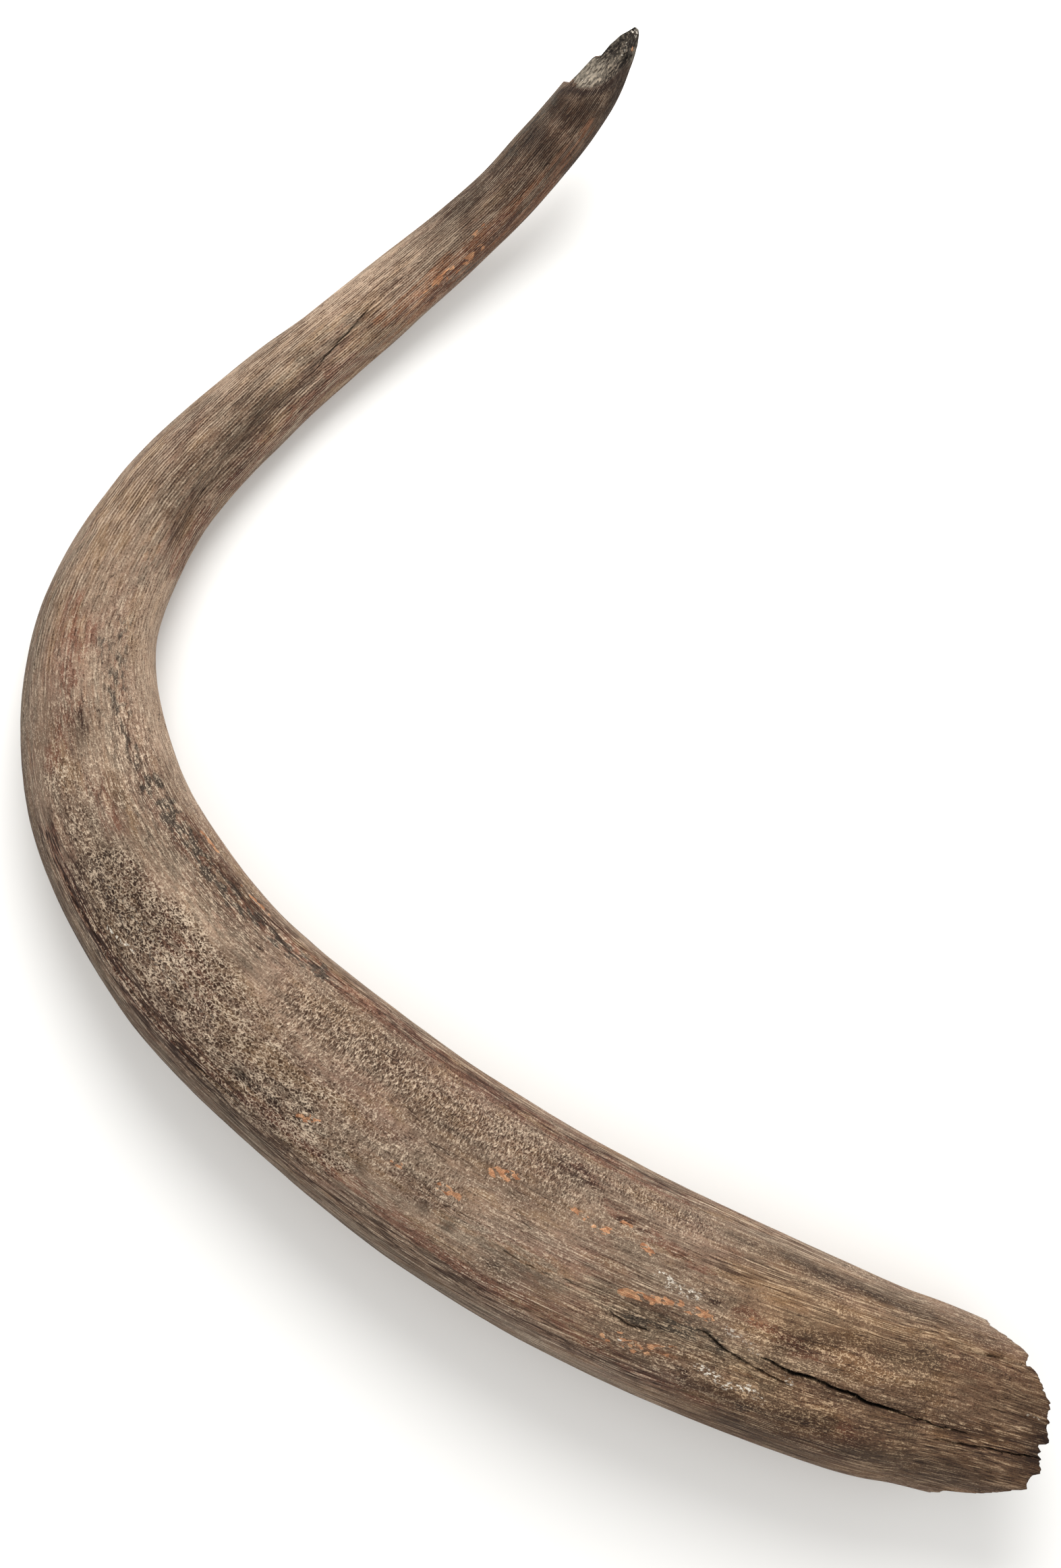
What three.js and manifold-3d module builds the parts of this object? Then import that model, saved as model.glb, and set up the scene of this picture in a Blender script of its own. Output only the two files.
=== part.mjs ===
// A fossil mammoth tusk (an upper incisor), broken at both ends, lying on its side.
// Millimetres, +Z up. The origin is the middle of its footprint, on the surface that it lies on.
// A place on the skin is given by two numbers: "along", the millimetres from the farthest point
// of the root's rim towards the tip, and "around", the degrees about the middle line, where 0 is
// the inside of the curve, 90 the upper side, 180 the outside and 270 the belly.
import * as THREE from 'three';
import { mergeVertices } from 'three/addons/utils/BufferGeometryUtils.js';
import Module from 'manifold-3d';

const wasm = await Module();
wasm.setup();

// ---- Driving dimensions ----------------------------------------------------------------------

// Stations from root to tip: x, y, half the width, and the rise of the belly over the surface.
// The rise is lowest at three places, the root, the big bend and the upper arm, where it rests.
const STATIONS = [
  [371, -498, 62, 2],
  [286, -468, 69, -1.5],
  [226, -448, 73, 2],
  [74, -384, 77, 5],
  [-69, -302, 76.5, -2],
  [-198, -200, 71, 2],
  [-271, -117, 65.5, 5],
  [-322, -18, 58, 8],
  [-330, 92, 46, 7],
  [-283, 192, 38, 2],
  [-207, 273, 32.5, -2],
  [-120, 344, 28, 9],
  [-35, 413, 24, 34],
  [4, 452, 23.2, 54],
  [34, 486, 21, 73],
  [72, 536, 15, 107],
];
const HEIGHT_TO_WIDTH = 0.94;
const SURFACE_HEIGHT = 0;

// The mesh: points round each ring, and the step between rings in each stretch of the tusk.
const SIDES = 54;
const STRETCHES = [
  { upTo: 96, step: 12 },
  { upTo: 1530, step: 29 },
  { upTo: 1610, step: 5 },
];

// Long ridges wind slowly round the tusk, as growth left them. Heights are for the thickest part.
const SPIRAL_DEGREES = 70;
const THICKEST_HALF_WIDTH = 77;
const RIDGES = [
  { count: 3, height: 0.9, phase: 20, wander: 400 },
  { count: 5, height: 0.8, phase: 160, wander: 260 },
  { count: 8, height: 0.6, phase: 75, wander: 170 },
];
const SWELLINGS = { height: 0.8, length: 310 };

// Broad hollows in the skin, each a line of [along, around] points with its width and depth.
// They fade out over this share of their length at both ends.
const HOLLOW_FADE = 0.3;
const HOLLOWS = [
  { line: [[560, 30], [685, 31], [755, 42], [850, 48], [1000, 72]], width: 13, depth: 4.5 },
  { line: [[1030, 30], [1120, 48], [1181, 64], [1242, 62], [1350, 100]], width: 7, depth: 4 },
  { line: [[185, 108], [255, 104], [300, 99], [370, 95]], width: 15, depth: 4.5 },
  { line: [[260, 306], [430, 312], [600, 300]], width: 16, depth: 4 },
  { line: [[610, 208], [760, 214], [930, 205]], width: 11, depth: 3.5 },
  { line: [[1160, 150], [1300, 176], [1480, 190]], width: 6, depth: 3 },
];

// Drying cracks and furrows with sharp edges, cut as wedges: widest in the middle of their line.
const CRACKS = [
  { line: [[112, 97.5], [138, 96.5], [156, 95], [180, 95], [205, 95.5], [232, 94]], width: 7, depth: 14 },
  { line: [[52, 96], [84, 98], [117, 98], [140, 97]], width: 4, depth: 5 },
  { line: [[194, 102], [214, 103], [236, 101], [252, 98.5], [265, 93], [280, 91]], width: 5, depth: 8 },
  { line: [[300, 106], [318, 107], [336, 105]], width: 5, depth: 6 },
  { line: [[-6, 97], [60, 104], [92, 107]], width: 4, depth: 8 },
  { line: [[18, 39], [55, 43], [84, 47]], width: 5, depth: 9 },
  { line: [[600, 130], [661, 133], [737, 136], [793, 138], [860, 142]], width: 6, depth: 4 },
  { line: [[1242, 62], [1290, 80], [1330, 96]], width: 5, depth: 4 },
  { line: [[-8, 226], [120, 231], [260, 226], [400, 231]], width: 6, depth: 14 },
  { line: [[560, 332], [640, 338], [740, 331]], width: 5, depth: 8 },
  { line: [[905, 250], [1000, 256], [1105, 249]], width: 5, depth: 7 },
];

// Scars where a flake of the outer layer has come away: middle, half length, half width, depth.
const SCARS = [
  { along: 262, around: 112, halfLength: 46, halfWidth: 15, depth: 2.2 },
  { along: 330, around: 86, halfLength: 34, halfWidth: 13, depth: 2 },
  { along: 1080, around: 196, halfLength: 40, halfWidth: 12, depth: 2 },
  { along: 420, around: 262, halfLength: 60, halfWidth: 20, depth: 2.4 },
];

// The root's rim, broken away unevenly: degrees round, and how far the edge is set back.
const RIM = [
  [0, 62], [7, 61], [14, 47], [22, 36], [31, 31], [38, 33], [44, 24], [50, 19], [60, 10], [76, 6],
  [86, 3], [91, 8], [98, 3], [107, 1], [116, 7], [123, 4], [132, 18], [146, 34], [156, 55],
  [180, 67], [205, 60], [226, 47], [246, 52], [268, 44], [290, 49], [312, 41], [332, 55],
];
const RIM_REACH = 96;
const RIM_WALL = 13;
const RIM_BEVEL = 5;
const CAVITY_DEPTH = 210;
const CAVITY_STEPS = [0.12, 0.3, 0.5, 0.7, 0.87];

// The tip's break: where its edge crosses the skin, then two rough faces that run out to the tip.
const BREAK_EDGE = [
  [-20, 1537], [-17, 1541], [-12, 1547], [-5, 1551], [-1, 1554],
  [4, 1561], [8, 1568], [11, 1575], [14, 1584], [22, 1607],
];
const BREAK_SCARP = 2;
const BREAK_STEEP_FALL = 0.55;
const BREAK_LEDGE = 2.5;
const BREAK_SHALLOW_FALL = 0.1;
const BREAK_OUTER_SIDE = [
  [1541, 200], [1543, 17], [1555, 15], [1570, 13.6], [1573, 9.6],
  [1585, 8.6], [1595, 6.3], [1600, 3.8], [1608, 0.5],
];
const TIP_ROUNDING = 65;

// ---- The middle line and the sections ----------------------------------------------------------

const UP = new THREE.Vector3(0, 0, 1);
const centres = STATIONS.map(([x, y, halfWidth, rise]) =>
  new THREE.Vector3(x, y, rise + halfWidth * HEIGHT_TO_WIDTH));
const widths = STATIONS.map(([, , halfWidth]) => new THREE.Vector3(halfWidth, 0, 0));
const spine = new THREE.CatmullRomCurve3(centres, false, 'catmullrom', 0.5);
const girth = new THREE.CatmullRomCurve3(widths, false, 'catmullrom', 0.5);
spine.arcLengthDivisions = 2000;
const LENGTH = spine.getLength();

// The value at "place" of a line of [place, value] pairs, straight between them.
function between(pairs, place) {
  if (place <= pairs[0][0]) return pairs[0][1];
  for (let i = 1; i < pairs.length; i += 1) {
    const [start, low] = pairs[i - 1];
    const [end, high] = pairs[i];
    if (place <= end) return THREE.MathUtils.mapLinear(place, start, end, low, high);
  }
  return pairs[pairs.length - 1][1];
}

function section(along) {
  const t = spine.getUtoTmapping(THREE.MathUtils.clamp(along / LENGTH, 0, 1));
  const forward = spine.getTangent(t);
  const side = new THREE.Vector3().crossVectors(forward, UP).normalize();
  const top = new THREE.Vector3().crossVectors(side, forward);
  const centre = spine.getPoint(t).addScaledVector(forward, Math.min(along, 0));
  const fromEnd = Math.max(0, along - (LENGTH - TIP_ROUNDING)) / TIP_ROUNDING;
  const rounding = Math.sqrt(Math.max(0, 1 - fromEnd ** 2));
  return { centre, side, top, halfWidth: girth.getPoint(t).x * rounding };
}

// ---- The skin ------------------------------------------------------------------------------------

function wrapDegrees(angle) {
  return THREE.MathUtils.euclideanModulo(angle + 180, 360) - 180;
}

// How far a place on the skin is from a line of [along, around] points, in millimetres.
function distanceToLine(line, along, around, radius) {
  const perDegree = THREE.MathUtils.degToRad(radius);
  let nearest = Infinity;
  for (let i = 1; i < line.length; i += 1) {
    const [startAlong, startAround] = line[i - 1];
    const run = line[i][0] - startAlong;
    const turn = (line[i][1] - startAround) * perDegree;
    const pastAlong = along - startAlong;
    const pastAround = wrapDegrees(around - startAround) * perDegree;
    const reached = (pastAlong * run + pastAround * turn) / (run * run + turn * turn);
    const share = THREE.MathUtils.clamp(reached, 0, 1);
    nearest = Math.min(nearest, Math.hypot(pastAlong - share * run, pastAround - share * turn));
  }
  return nearest;
}

// The height of the ridges, swellings and hollows over the plain oval section.
function relief(along, around, halfWidth) {
  const turned = around - (SPIRAL_DEGREES * along) / LENGTH;
  let height = 0;
  for (const ridge of RIDGES) {
    const wander = Math.sin(along / ridge.wander + ridge.phase);
    const turn = THREE.MathUtils.degToRad(ridge.count * turned + ridge.phase);
    height += ridge.height * Math.cos(turn + wander);
  }
  const swell = (2 * Math.PI * along) / SWELLINGS.length;
  height += SWELLINGS.height * Math.sin(swell + 2 * Math.cos(THREE.MathUtils.degToRad(turned)));
  height *= halfWidth / THICKEST_HALF_WIDTH;
  for (const hollow of HOLLOWS) {
    const distance = distanceToLine(hollow.line, along, around, halfWidth);
    const start = hollow.line[0][0];
    const end = hollow.line[hollow.line.length - 1][0];
    const fade = HOLLOW_FADE * (end - start);
    const strength = THREE.MathUtils.smoothstep(along, start, start + fade)
      * (1 - THREE.MathUtils.smoothstep(along, end - fade, end));
    height -= hollow.depth * strength * Math.exp(-((distance / hollow.width) ** 2));
  }
  return height;
}

// How high the tip's break leaves the section, "across" millimetres towards the inside of the curve.
function breakHeight(along, across, halfWidth) {
  const past = along - between(BREAK_EDGE, across);
  if (past <= 0) return Infinity;
  const steep = halfWidth * HEIGHT_TO_WIDTH - BREAK_SCARP - BREAK_STEEP_FALL * past;
  const shallow = BREAK_LEDGE - BREAK_SHALLOW_FALL * past;
  return Math.max(steep, shallow);
}

// A point of the skin, or "lift" millimetres out of it.
function skin(along, around, lift = 0) {
  const { centre, side, top, halfWidth } = section(along);
  const angle = THREE.MathUtils.degToRad(around);
  const out = relief(along, around, halfWidth) + lift;
  const across = Math.max(Math.cos(angle) * (halfWidth + out), -between(BREAK_OUTER_SIDE, along) - lift);
  const up = Math.min(
    Math.sin(angle) * (halfWidth * HEIGHT_TO_WIDTH + out),
    breakHeight(along, across, halfWidth) + lift,
  );
  return centre.addScaledVector(side, across).addScaledVector(top, up);
}

// A point of the pulp cavity's wall. "share" runs from 0 at its mouth to 1 at its pointed end.
function cavityWall(share, around) {
  const mouth = between([...RIM, [360, RIM[0][1]]], around) + RIM_BEVEL;
  const { centre, side, top, halfWidth } = section(THREE.MathUtils.lerp(mouth, CAVITY_DEPTH, share));
  const radius = (halfWidth - RIM_WALL) * (1 - share);
  const angle = THREE.MathUtils.degToRad(around);
  return centre
    .addScaledVector(side, Math.cos(angle) * radius)
    .addScaledVector(top, Math.sin(angle) * radius * HEIGHT_TO_WIDTH);
}

// ---- Closed meshes -----------------------------------------------------------------------------

// A closed mesh from rings of equal count, capped by a single point at each end.
function ringedBody(firstPoint, rings, lastPoint) {
  const count = rings[0].length;
  const points = [firstPoint, ...rings.flat(), lastPoint];
  const index = [];
  const at = (ring, place) => 1 + ring * count + (place % count);
  for (let place = 0; place < count; place += 1) {
    index.push(0, at(0, place), at(0, place + 1));
    index.push(points.length - 1, at(rings.length - 1, place + 1), at(rings.length - 1, place));
    for (let ring = 1; ring < rings.length; ring += 1) {
      index.push(at(ring - 1, place), at(ring, place + 1), at(ring - 1, place + 1));
      index.push(at(ring - 1, place), at(ring, place), at(ring, place + 1));
    }
  }
  const geometry = new THREE.BufferGeometry().setFromPoints(points);
  geometry.setIndex(index);
  return geometry;
}

function toSolid(geometry) {
  const merged = mergeVertices(geometry, 1e-4);
  return new wasm.Manifold(new wasm.Mesh({
    numProp: 3,
    vertProperties: new Float32Array(merged.attributes.position.array),
    triVerts: new Uint32Array(merged.index.array),
  }));
}

function toGeometry(solid) {
  const { vertProperties, triVerts } = solid.getMesh();
  const geometry = new THREE.BufferGeometry();
  geometry.setAttribute('position', new THREE.BufferAttribute(new Float32Array(vertProperties), 3));
  geometry.setIndex(new THREE.BufferAttribute(new Uint32Array(triVerts), 1));
  geometry.computeVertexNormals();
  return geometry;
}

function ringPlaces() {
  const places = [0];
  for (const { upTo, step } of STRETCHES) {
    const start = places[places.length - 1];
    const end = Math.min(upTo, LENGTH - 1);
    const steps = Math.round((end - start) / step);
    for (let i = 1; i <= steps; i += 1) places.push(start + ((end - start) * i) / steps);
  }
  return places;
}

function tuskBody() {
  const angles = Array.from({ length: SIDES }, (_, i) => (360 * i) / SIDES);
  const inward = [...CAVITY_STEPS].reverse();
  const cavity = inward.map((share) => angles.map((around) => cavityWall(share, around)));
  const mouth = angles.map((around) => cavityWall(0, around));
  const outside = ringPlaces().map((place) => angles.map((around) => {
    const setBack = between([...RIM, [360, RIM[0][1]]], around);
    const point = skin(place + setBack * Math.max(0, 1 - place / RIM_REACH), around);
    point.z = Math.max(point.z, SURFACE_HEIGHT);
    return point;
  }));
  const tip = skin(LENGTH, 0);
  return ringedBody(cavityWall(1, 0), [...cavity, mouth, ...outside], tip);
}

// A wedge that follows the skin along a crack, open above it and tapering out at both ends.
function crackWedge({ line, width, depth }) {
  const above = 6;
  const rings = line.slice(1, -1).map(([along, around]) => {
    const half = THREE.MathUtils.radToDeg(width / 2 / section(along).halfWidth);
    const lips = [skin(along, around - half, above), skin(along, around + half, above)];
    return [...lips, skin(along, around, -depth)];
  });
  const [first] = line;
  const last = line[line.length - 1];
  return ringedBody(skin(first[0], first[1], 1), rings, skin(last[0], last[1], 1));
}

// A thin lens that follows the skin under a flake scar, with a ragged outline and a steep edge.
function scarLens({ along, around, halfLength, halfWidth, depth }) {
  const corners = 14;
  const ring = (size, lift) => Array.from({ length: corners }, (_, i) => {
    const angle = (2 * Math.PI * i) / corners;
    const ragged = 1 + 0.12 * Math.sin(3 * i) + 0.08 * Math.cos(5 * i);
    const perMillimetre = THREE.MathUtils.radToDeg(1 / section(along).halfWidth);
    const turn = size * ragged * Math.sin(angle) * halfWidth * perMillimetre;
    return skin(along + size * ragged * Math.cos(angle) * halfLength, around + turn, lift);
  });
  const rings = [ring(0.5, 5), ring(1.06, 5), ring(1, -0.7 * depth), ring(0.5, -depth)];
  return ringedBody(skin(along, around, 5), rings, skin(along, around, -depth));
}

// ---- The tusk ----------------------------------------------------------------------------------

let solid = toSolid(tuskBody());
for (const scar of SCARS) solid = solid.subtract(toSolid(scarLens(scar)));
for (const crack of CRACKS) solid = solid.subtract(toSolid(crackWedge(crack)));

const shape = toGeometry(solid);
shape.computeBoundingBox();
const { min, max } = shape.boundingBox;
shape.translate(-(min.x + max.x) / 2, -(min.y + max.y) / 2, -min.z);

const ivory = new THREE.MeshStandardMaterial({ color: 0x826d5c, roughness: 0.75, metalness: 0 });
const tusk = new THREE.Mesh(shape, ivory);
tusk.name = 'tusk';

const group = new THREE.Group();
group.add(tusk);
export default group;
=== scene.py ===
# %% [markdown]
# # A fossil mammoth tusk
# A mammoth's tusk is one tooth that never stops growing. Dentine is laid down as thin cones inside
# each other, so the tusk is a long curved horn with a hollow root and a grain that runs from end to
# end. After thousands of years in frozen ground its outer layer has dried, split and taken up rust,
# silt and dark stains. This lesson builds it as one mesh on a curved middle line, and gives it one
# weathered ivory finish whose patterns follow the grain. The CAD frame is loaded first, because it
# says how large the tusk is and where it lies.

# %% Load the frame
import itertools
import math

import bpy
import numpy as np
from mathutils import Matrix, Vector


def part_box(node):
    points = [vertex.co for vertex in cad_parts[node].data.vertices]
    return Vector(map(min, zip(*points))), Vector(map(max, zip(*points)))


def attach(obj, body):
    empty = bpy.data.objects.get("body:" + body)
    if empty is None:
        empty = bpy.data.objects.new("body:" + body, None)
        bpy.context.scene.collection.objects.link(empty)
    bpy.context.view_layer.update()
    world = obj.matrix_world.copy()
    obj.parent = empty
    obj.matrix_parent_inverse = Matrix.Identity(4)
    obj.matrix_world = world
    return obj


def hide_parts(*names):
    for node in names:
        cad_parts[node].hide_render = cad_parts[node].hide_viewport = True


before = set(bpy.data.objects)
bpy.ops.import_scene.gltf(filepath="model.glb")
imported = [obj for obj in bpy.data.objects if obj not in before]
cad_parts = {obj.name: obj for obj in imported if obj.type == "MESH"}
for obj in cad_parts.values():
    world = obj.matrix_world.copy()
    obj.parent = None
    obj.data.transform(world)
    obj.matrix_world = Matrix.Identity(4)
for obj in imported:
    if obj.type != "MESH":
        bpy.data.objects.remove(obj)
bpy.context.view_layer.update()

# %% [markdown]
# ## The middle line
# The tusk could be drawn as a Bezier curve with a bevel, but then every bump would need a modifier.
# Here the curve is a function instead: stations from the root to the tip, each with its place, half
# its width and the rise of its belly over the surface, and one smooth curve through them all. The
# numbers are the same millimetres that the CAD solid is made from.

# %% Stations of the middle line
STATIONS = np.array([
    [371, -498, 62, 2],
    [286, -468, 69, -1.5],
    [226, -448, 73, 2],
    [74, -384, 77, 5],
    [-69, -302, 76.5, -2],
    [-198, -200, 71, 2],
    [-271, -117, 65.5, 5],
    [-322, -18, 58, 8],
    [-330, 92, 46, 7],
    [-283, 192, 38, 2],
    [-207, 273, 32.5, -2],
    [-120, 344, 28, 9],
    [-35, 413, 24, 34],
    [4, 452, 23.2, 54],
    [34, 486, 21, 73],
    [72, 536, 15, 107],
])
HEIGHT_TO_WIDTH = 0.94
TIP_ROUNDING = 65
MIDDLE = np.column_stack([STATIONS[:, :2], STATIONS[:, 3] + STATIONS[:, 2] * HEIGHT_TO_WIDTH])
HALF_WIDTHS = STATIONS[:, 2:3]


def curve_through(points, share):
    """A smooth curve through the points, at shares of it from 0 to 1."""
    held = np.vstack([2 * points[0] - points[1], points, 2 * points[-1] - points[-2]])
    place = np.clip(share, 0, 1) * (len(points) - 1)
    first = np.minimum(place.astype(int), len(points) - 2)
    w = (place - first)[..., None]
    a, b, c, d = (held[first + step] for step in range(4))
    return b + w / 2 * (c - a + w * (2 * a - 5 * b + 4 * c - d + w * (3 * (b - c) + d - a)))


SHARES = np.linspace(0, 1, 2001)
STEPS = np.linalg.norm(np.diff(curve_through(MIDDLE, SHARES), axis=0), axis=1)
ARC = np.concatenate([[0], np.cumsum(STEPS)])
LENGTH = ARC[-1]
print(f"the middle line is {LENGTH:.0f} mm long")

# %% [markdown]
# ## Sections
# A place on the skin has two numbers. "Along" is the distance from the root in millimetres, and
# "around" is the angle about the middle line: 0 on the inside of the curve, 90 on the upper side,
# 180 on the outside and 270 on the belly. Each place also has a "straight" point, where it would be
# if the tusk were unbent, so that a pattern made there follows the curve of the real grain.

# %% Sections across the middle line
UP = np.array([0.0, 0.0, 1.0])
SPIRAL = math.radians(70)


def unit(vectors):
    """The same directions with a length of one."""
    return vectors / np.linalg.norm(vectors, axis=-1, keepdims=True)


def section(along):
    """The centre, sideways and upward directions, and half width of the section at each place."""
    share = np.interp(along, ARC, SHARES)
    nudge = 1e-4
    ahead = curve_through(MIDDLE, np.minimum(share + nudge, 1))
    behind = curve_through(MIDDLE, np.maximum(share - nudge, 0))
    forward = unit(ahead - behind)
    side = unit(np.cross(forward, UP))
    centre = curve_through(MIDDLE, share) + forward * np.minimum(along, 0)[..., None]
    past = np.maximum(0, along - (LENGTH - TIP_ROUNDING)) / TIP_ROUNDING
    half = curve_through(HALF_WIDTHS, share)[..., 0] * np.sqrt(np.maximum(0, 1 - past**2))
    return centre, side, np.cross(side, forward), half


def straightened(along, around, half):
    """The unbent tusk's skin, with its slow twist taken out, in millimetres."""
    angle = np.radians(around) - SPIRAL * along / LENGTH
    return np.stack([along, half * np.cos(angle), half * np.sin(angle)], axis=-1)


for part, place in (("root", 0.0), ("middle", 800.0)):
    print(f"half width at the {part}: {section(np.array([place]))[3][0]:.0f} mm")

# %% [markdown]
# ## Noise and masks
# Nothing on a fossil repeats, so small shapes come from smooth random noise on a lattice. It is
# worked out from whole-number arithmetic, which gives the same tusk on every run. A mask is a soft
# patch or line painted on the skin: 1 in its middle and 0 away from it.

# %% Noise, steps and distances
MIXERS = (374761393, 668265263, 1440662683, 1274126177)  # odd numbers that scatter bits well
WORD, HALF_WORD = 0xFFFFFFFF, 0x7FFFFFFF


def lattice_noise(place, seed):
    """Smooth noise between -1 and 1, with about one wave for each unit of place."""
    cell = np.floor(place).astype(np.int64)
    part = place - cell
    part = part * part * (3 - 2 * part)
    total = 0
    for corner in itertools.product((0, 1), repeat=3):
        x, y, z = np.moveaxis(cell + corner, -1, 0)
        mixed = (x * MIXERS[0] + y * MIXERS[1] + z * MIXERS[2] + seed * MIXERS[3]) & WORD
        mixed = ((mixed ^ (mixed >> 13)) * MIXERS[3]) & WORD
        value = (mixed ^ (mixed >> 16)) / HALF_WORD - 1
        total += value * np.prod(np.where(corner, part, 1 - part), axis=-1)
    return total


def rough(straight, lengthwise, crosswise, seed, octaves=2):
    """Noise whose waves are lengthwise millimetres long and crosswise millimetres wide."""
    size = np.array([lengthwise, crosswise, crosswise])
    waves = [lattice_noise(straight / size * 2**n, seed + n) / 2**n for n in range(octaves)]
    return sum(waves)


def smooth_step(value, start, end):
    """0 before the start, 1 after the end, and a soft rise between."""
    share = np.clip((value - start) / (end - start), 0, 1)
    return share * share * (3 - 2 * share)


def wrap(degrees):
    """The same turn, given from -180 to 180 degrees."""
    return (degrees + 180) % 360 - 180


def distance_to(line, along, around, half):
    """Millimetres on the skin from each place to a line of [along, around] points."""
    per_degree = np.radians(half)
    nearest = np.full(np.shape(along), np.inf)
    for (a_along, a_around), (b_along, b_around) in itertools.pairwise(line):
        run, turn = b_along - a_along, (b_around - a_around) * per_degree
        x, y = along - a_along, wrap(around - a_around) * per_degree
        share = np.clip((x * run + y * turn) / (run * run + turn * turn + 1e-9), 0, 1)
        nearest = np.minimum(nearest, np.hypot(x - share * run, y - share * turn))
    return nearest


def fading(along, line, fade):
    """1 along the middle of a line, falling to 0 at its two ends."""
    start, end = line[0][0], line[-1][0]
    reach = fade * (end - start)
    return smooth_step(along, start, start + reach) * (1 - smooth_step(along, end - reach, end))


sample = lattice_noise(np.linspace(0, 50, 6000).reshape(-1, 3), 1)
print(f"lattice noise runs from {sample.min():.2f} to {sample.max():.2f}")

# %% [markdown]
# ## Growth relief
# The skin of the real tusk carries low ridges and swellings from uneven growth, and broad hollows
# where the outer layer sank as it dried. They are heights over a plain oval section, the same in
# this mesh as in the CAD solid.

# %% Ridges, swellings and hollows
THICKEST = 77
# Ridges: how many go round, height, phase, and the length in which they wander.
RIDGES = [(3, 0.9, 20, 400), (5, 0.8, 160, 260), (8, 0.6, 75, 170)]
SWELLING_HEIGHT, SWELLING_LENGTH = 0.8, 310
HOLLOW_FADE = 0.3
# Hollows: a line of [along, around] points, half width and depth.
HOLLOWS = [
    ([[560, 30], [685, 31], [755, 42], [850, 48], [1000, 72]], 13, 4.5),
    ([[1030, 30], [1120, 48], [1181, 64], [1242, 62], [1350, 100]], 7, 4),
    ([[185, 108], [255, 104], [300, 99], [370, 95]], 15, 4.5),
    ([[260, 306], [430, 312], [600, 300]], 16, 4),
    ([[610, 208], [760, 214], [930, 205]], 11, 3.5),
    ([[1160, 150], [1300, 176], [1480, 190]], 6, 3),
]


def growth_relief(along, around, half):
    """The height of the ridges, swellings and hollows over the oval section."""
    turned = np.radians(around) - SPIRAL * along / LENGTH
    height = 0
    for count, tall, phase, wander in RIDGES:
        height += tall * np.cos(count * turned + math.radians(phase) + np.sin(along / wander + phase))
    height += SWELLING_HEIGHT * np.sin(2 * np.pi * along / SWELLING_LENGTH + 2 * np.cos(turned))
    height *= half / THICKEST
    for line, width, depth in HOLLOWS:
        away = distance_to(line, along, around, half)
        height -= depth * fading(along, line, HOLLOW_FADE) * np.exp(-((away / width) ** 2))
    return height


print(len(RIDGES), "sets of ridges and", len(HOLLOWS), "hollows")

# %% [markdown]
# ## Drying cracks and flake scars
# Ivory dries from the outside in and splits along its grain. A crack is a steep V that wavers along
# its line, between lips that lift a little as the layer curls. A boolean cut would give it clean
# walls, so the skin itself is pushed in here, and noise shakes the line. A flake scar is shallow,
# with a ragged outline and a steep edge, where a piece of the outer layer has come off.

# %% Cracks
# Cracks: a line of [along, around] points, width and depth. The faint ones are only in this mesh.
CRACKS = [
    ([[112, 97.5], [138, 96.5], [156, 95], [180, 95], [205, 95.5], [232, 94]], 7, 14),
    ([[52, 96], [84, 98], [117, 98], [140, 97]], 4, 5),
    ([[194, 102], [214, 103], [236, 101], [252, 98.5], [265, 93], [280, 91]], 5, 8),
    ([[300, 106], [318, 107], [336, 105]], 5, 6),
    ([[-6, 97], [60, 104], [92, 107]], 4, 8),
    ([[18, 39], [55, 43], [84, 47]], 5, 9),
    ([[600, 130], [661, 133], [737, 136], [793, 138], [860, 142]], 6, 4),
    ([[1242, 62], [1290, 80], [1330, 96]], 5, 4),
    ([[-8, 226], [120, 231], [260, 226], [400, 231]], 6, 14),
    ([[560, 332], [640, 338], [740, 331]], 5, 8),
    ([[905, 250], [1000, 256], [1105, 249]], 5, 7),
]
FAINT_CRACKS = [
    ([[352, 99], [374, 100], [388, 102], [406, 104], [428, 102]], 4, 2.5),
    ([[4, 72], [30, 76], [66, 80], [96, 78]], 4, 2),
    ([[4, 56], [40, 54], [92, 58]], 4, 1.6),
    ([[1090, 44], [1150, 58], [1205, 66]], 4, 2),
    ([[1390, 88], [1440, 92], [1500, 96]], 4, 2),
    ([[1440, 60], [1480, 64], [1530, 66]], 3, 2),
]
LIP_HEIGHT, LIP_WIDTH, FULL_LIP_DEPTH = 0.7, 3.5, 6
CAD_WEDGE_HEIGHT = 6
CRACK_OPENING, LEAST_OPENING = 0.45, 0.05
CRACK_TAPER, CRACK_SHAKE, CRACK_UNEVEN = 0.2, 1.2, 0.35
CRACK_STEEPNESS = 1.15


def crack_depths(along, around, half, straight):
    """How deep the cracks go at each place, and how much their lips stand up."""
    depth = np.zeros(np.shape(along))
    lips = np.zeros(np.shape(along))
    shaken = around + np.degrees((CRACK_SHAKE * rough(straight, 11, 60, 31, 3)) / half)
    for line, width, deepest in CRACKS + FAINT_CRACKS:
        taper = fading(along, line, CRACK_TAPER)
        opening = width / 2 * deepest / (deepest + CAD_WEDGE_HEIGHT)
        opening = CRACK_OPENING * opening * taper * (1 + CRACK_UNEVEN * rough(straight, 16, 90, 41))
        opening = opening + LEAST_OPENING
        away = distance_to(line, along, shaken, half)
        depth = np.maximum(depth, deepest * taper * np.clip(CRACK_STEEPNESS - away / opening, 0, 1))
        beside = np.exp(-((away / (LIP_WIDTH + opening)) ** 2))
        lips = np.maximum(lips, LIP_HEIGHT * min(1, deepest / FULL_LIP_DEPTH) * taper * beside)
    return depth, lips


print(len(CRACKS), "cracks and", len(FAINT_CRACKS), "faint ones")

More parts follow.
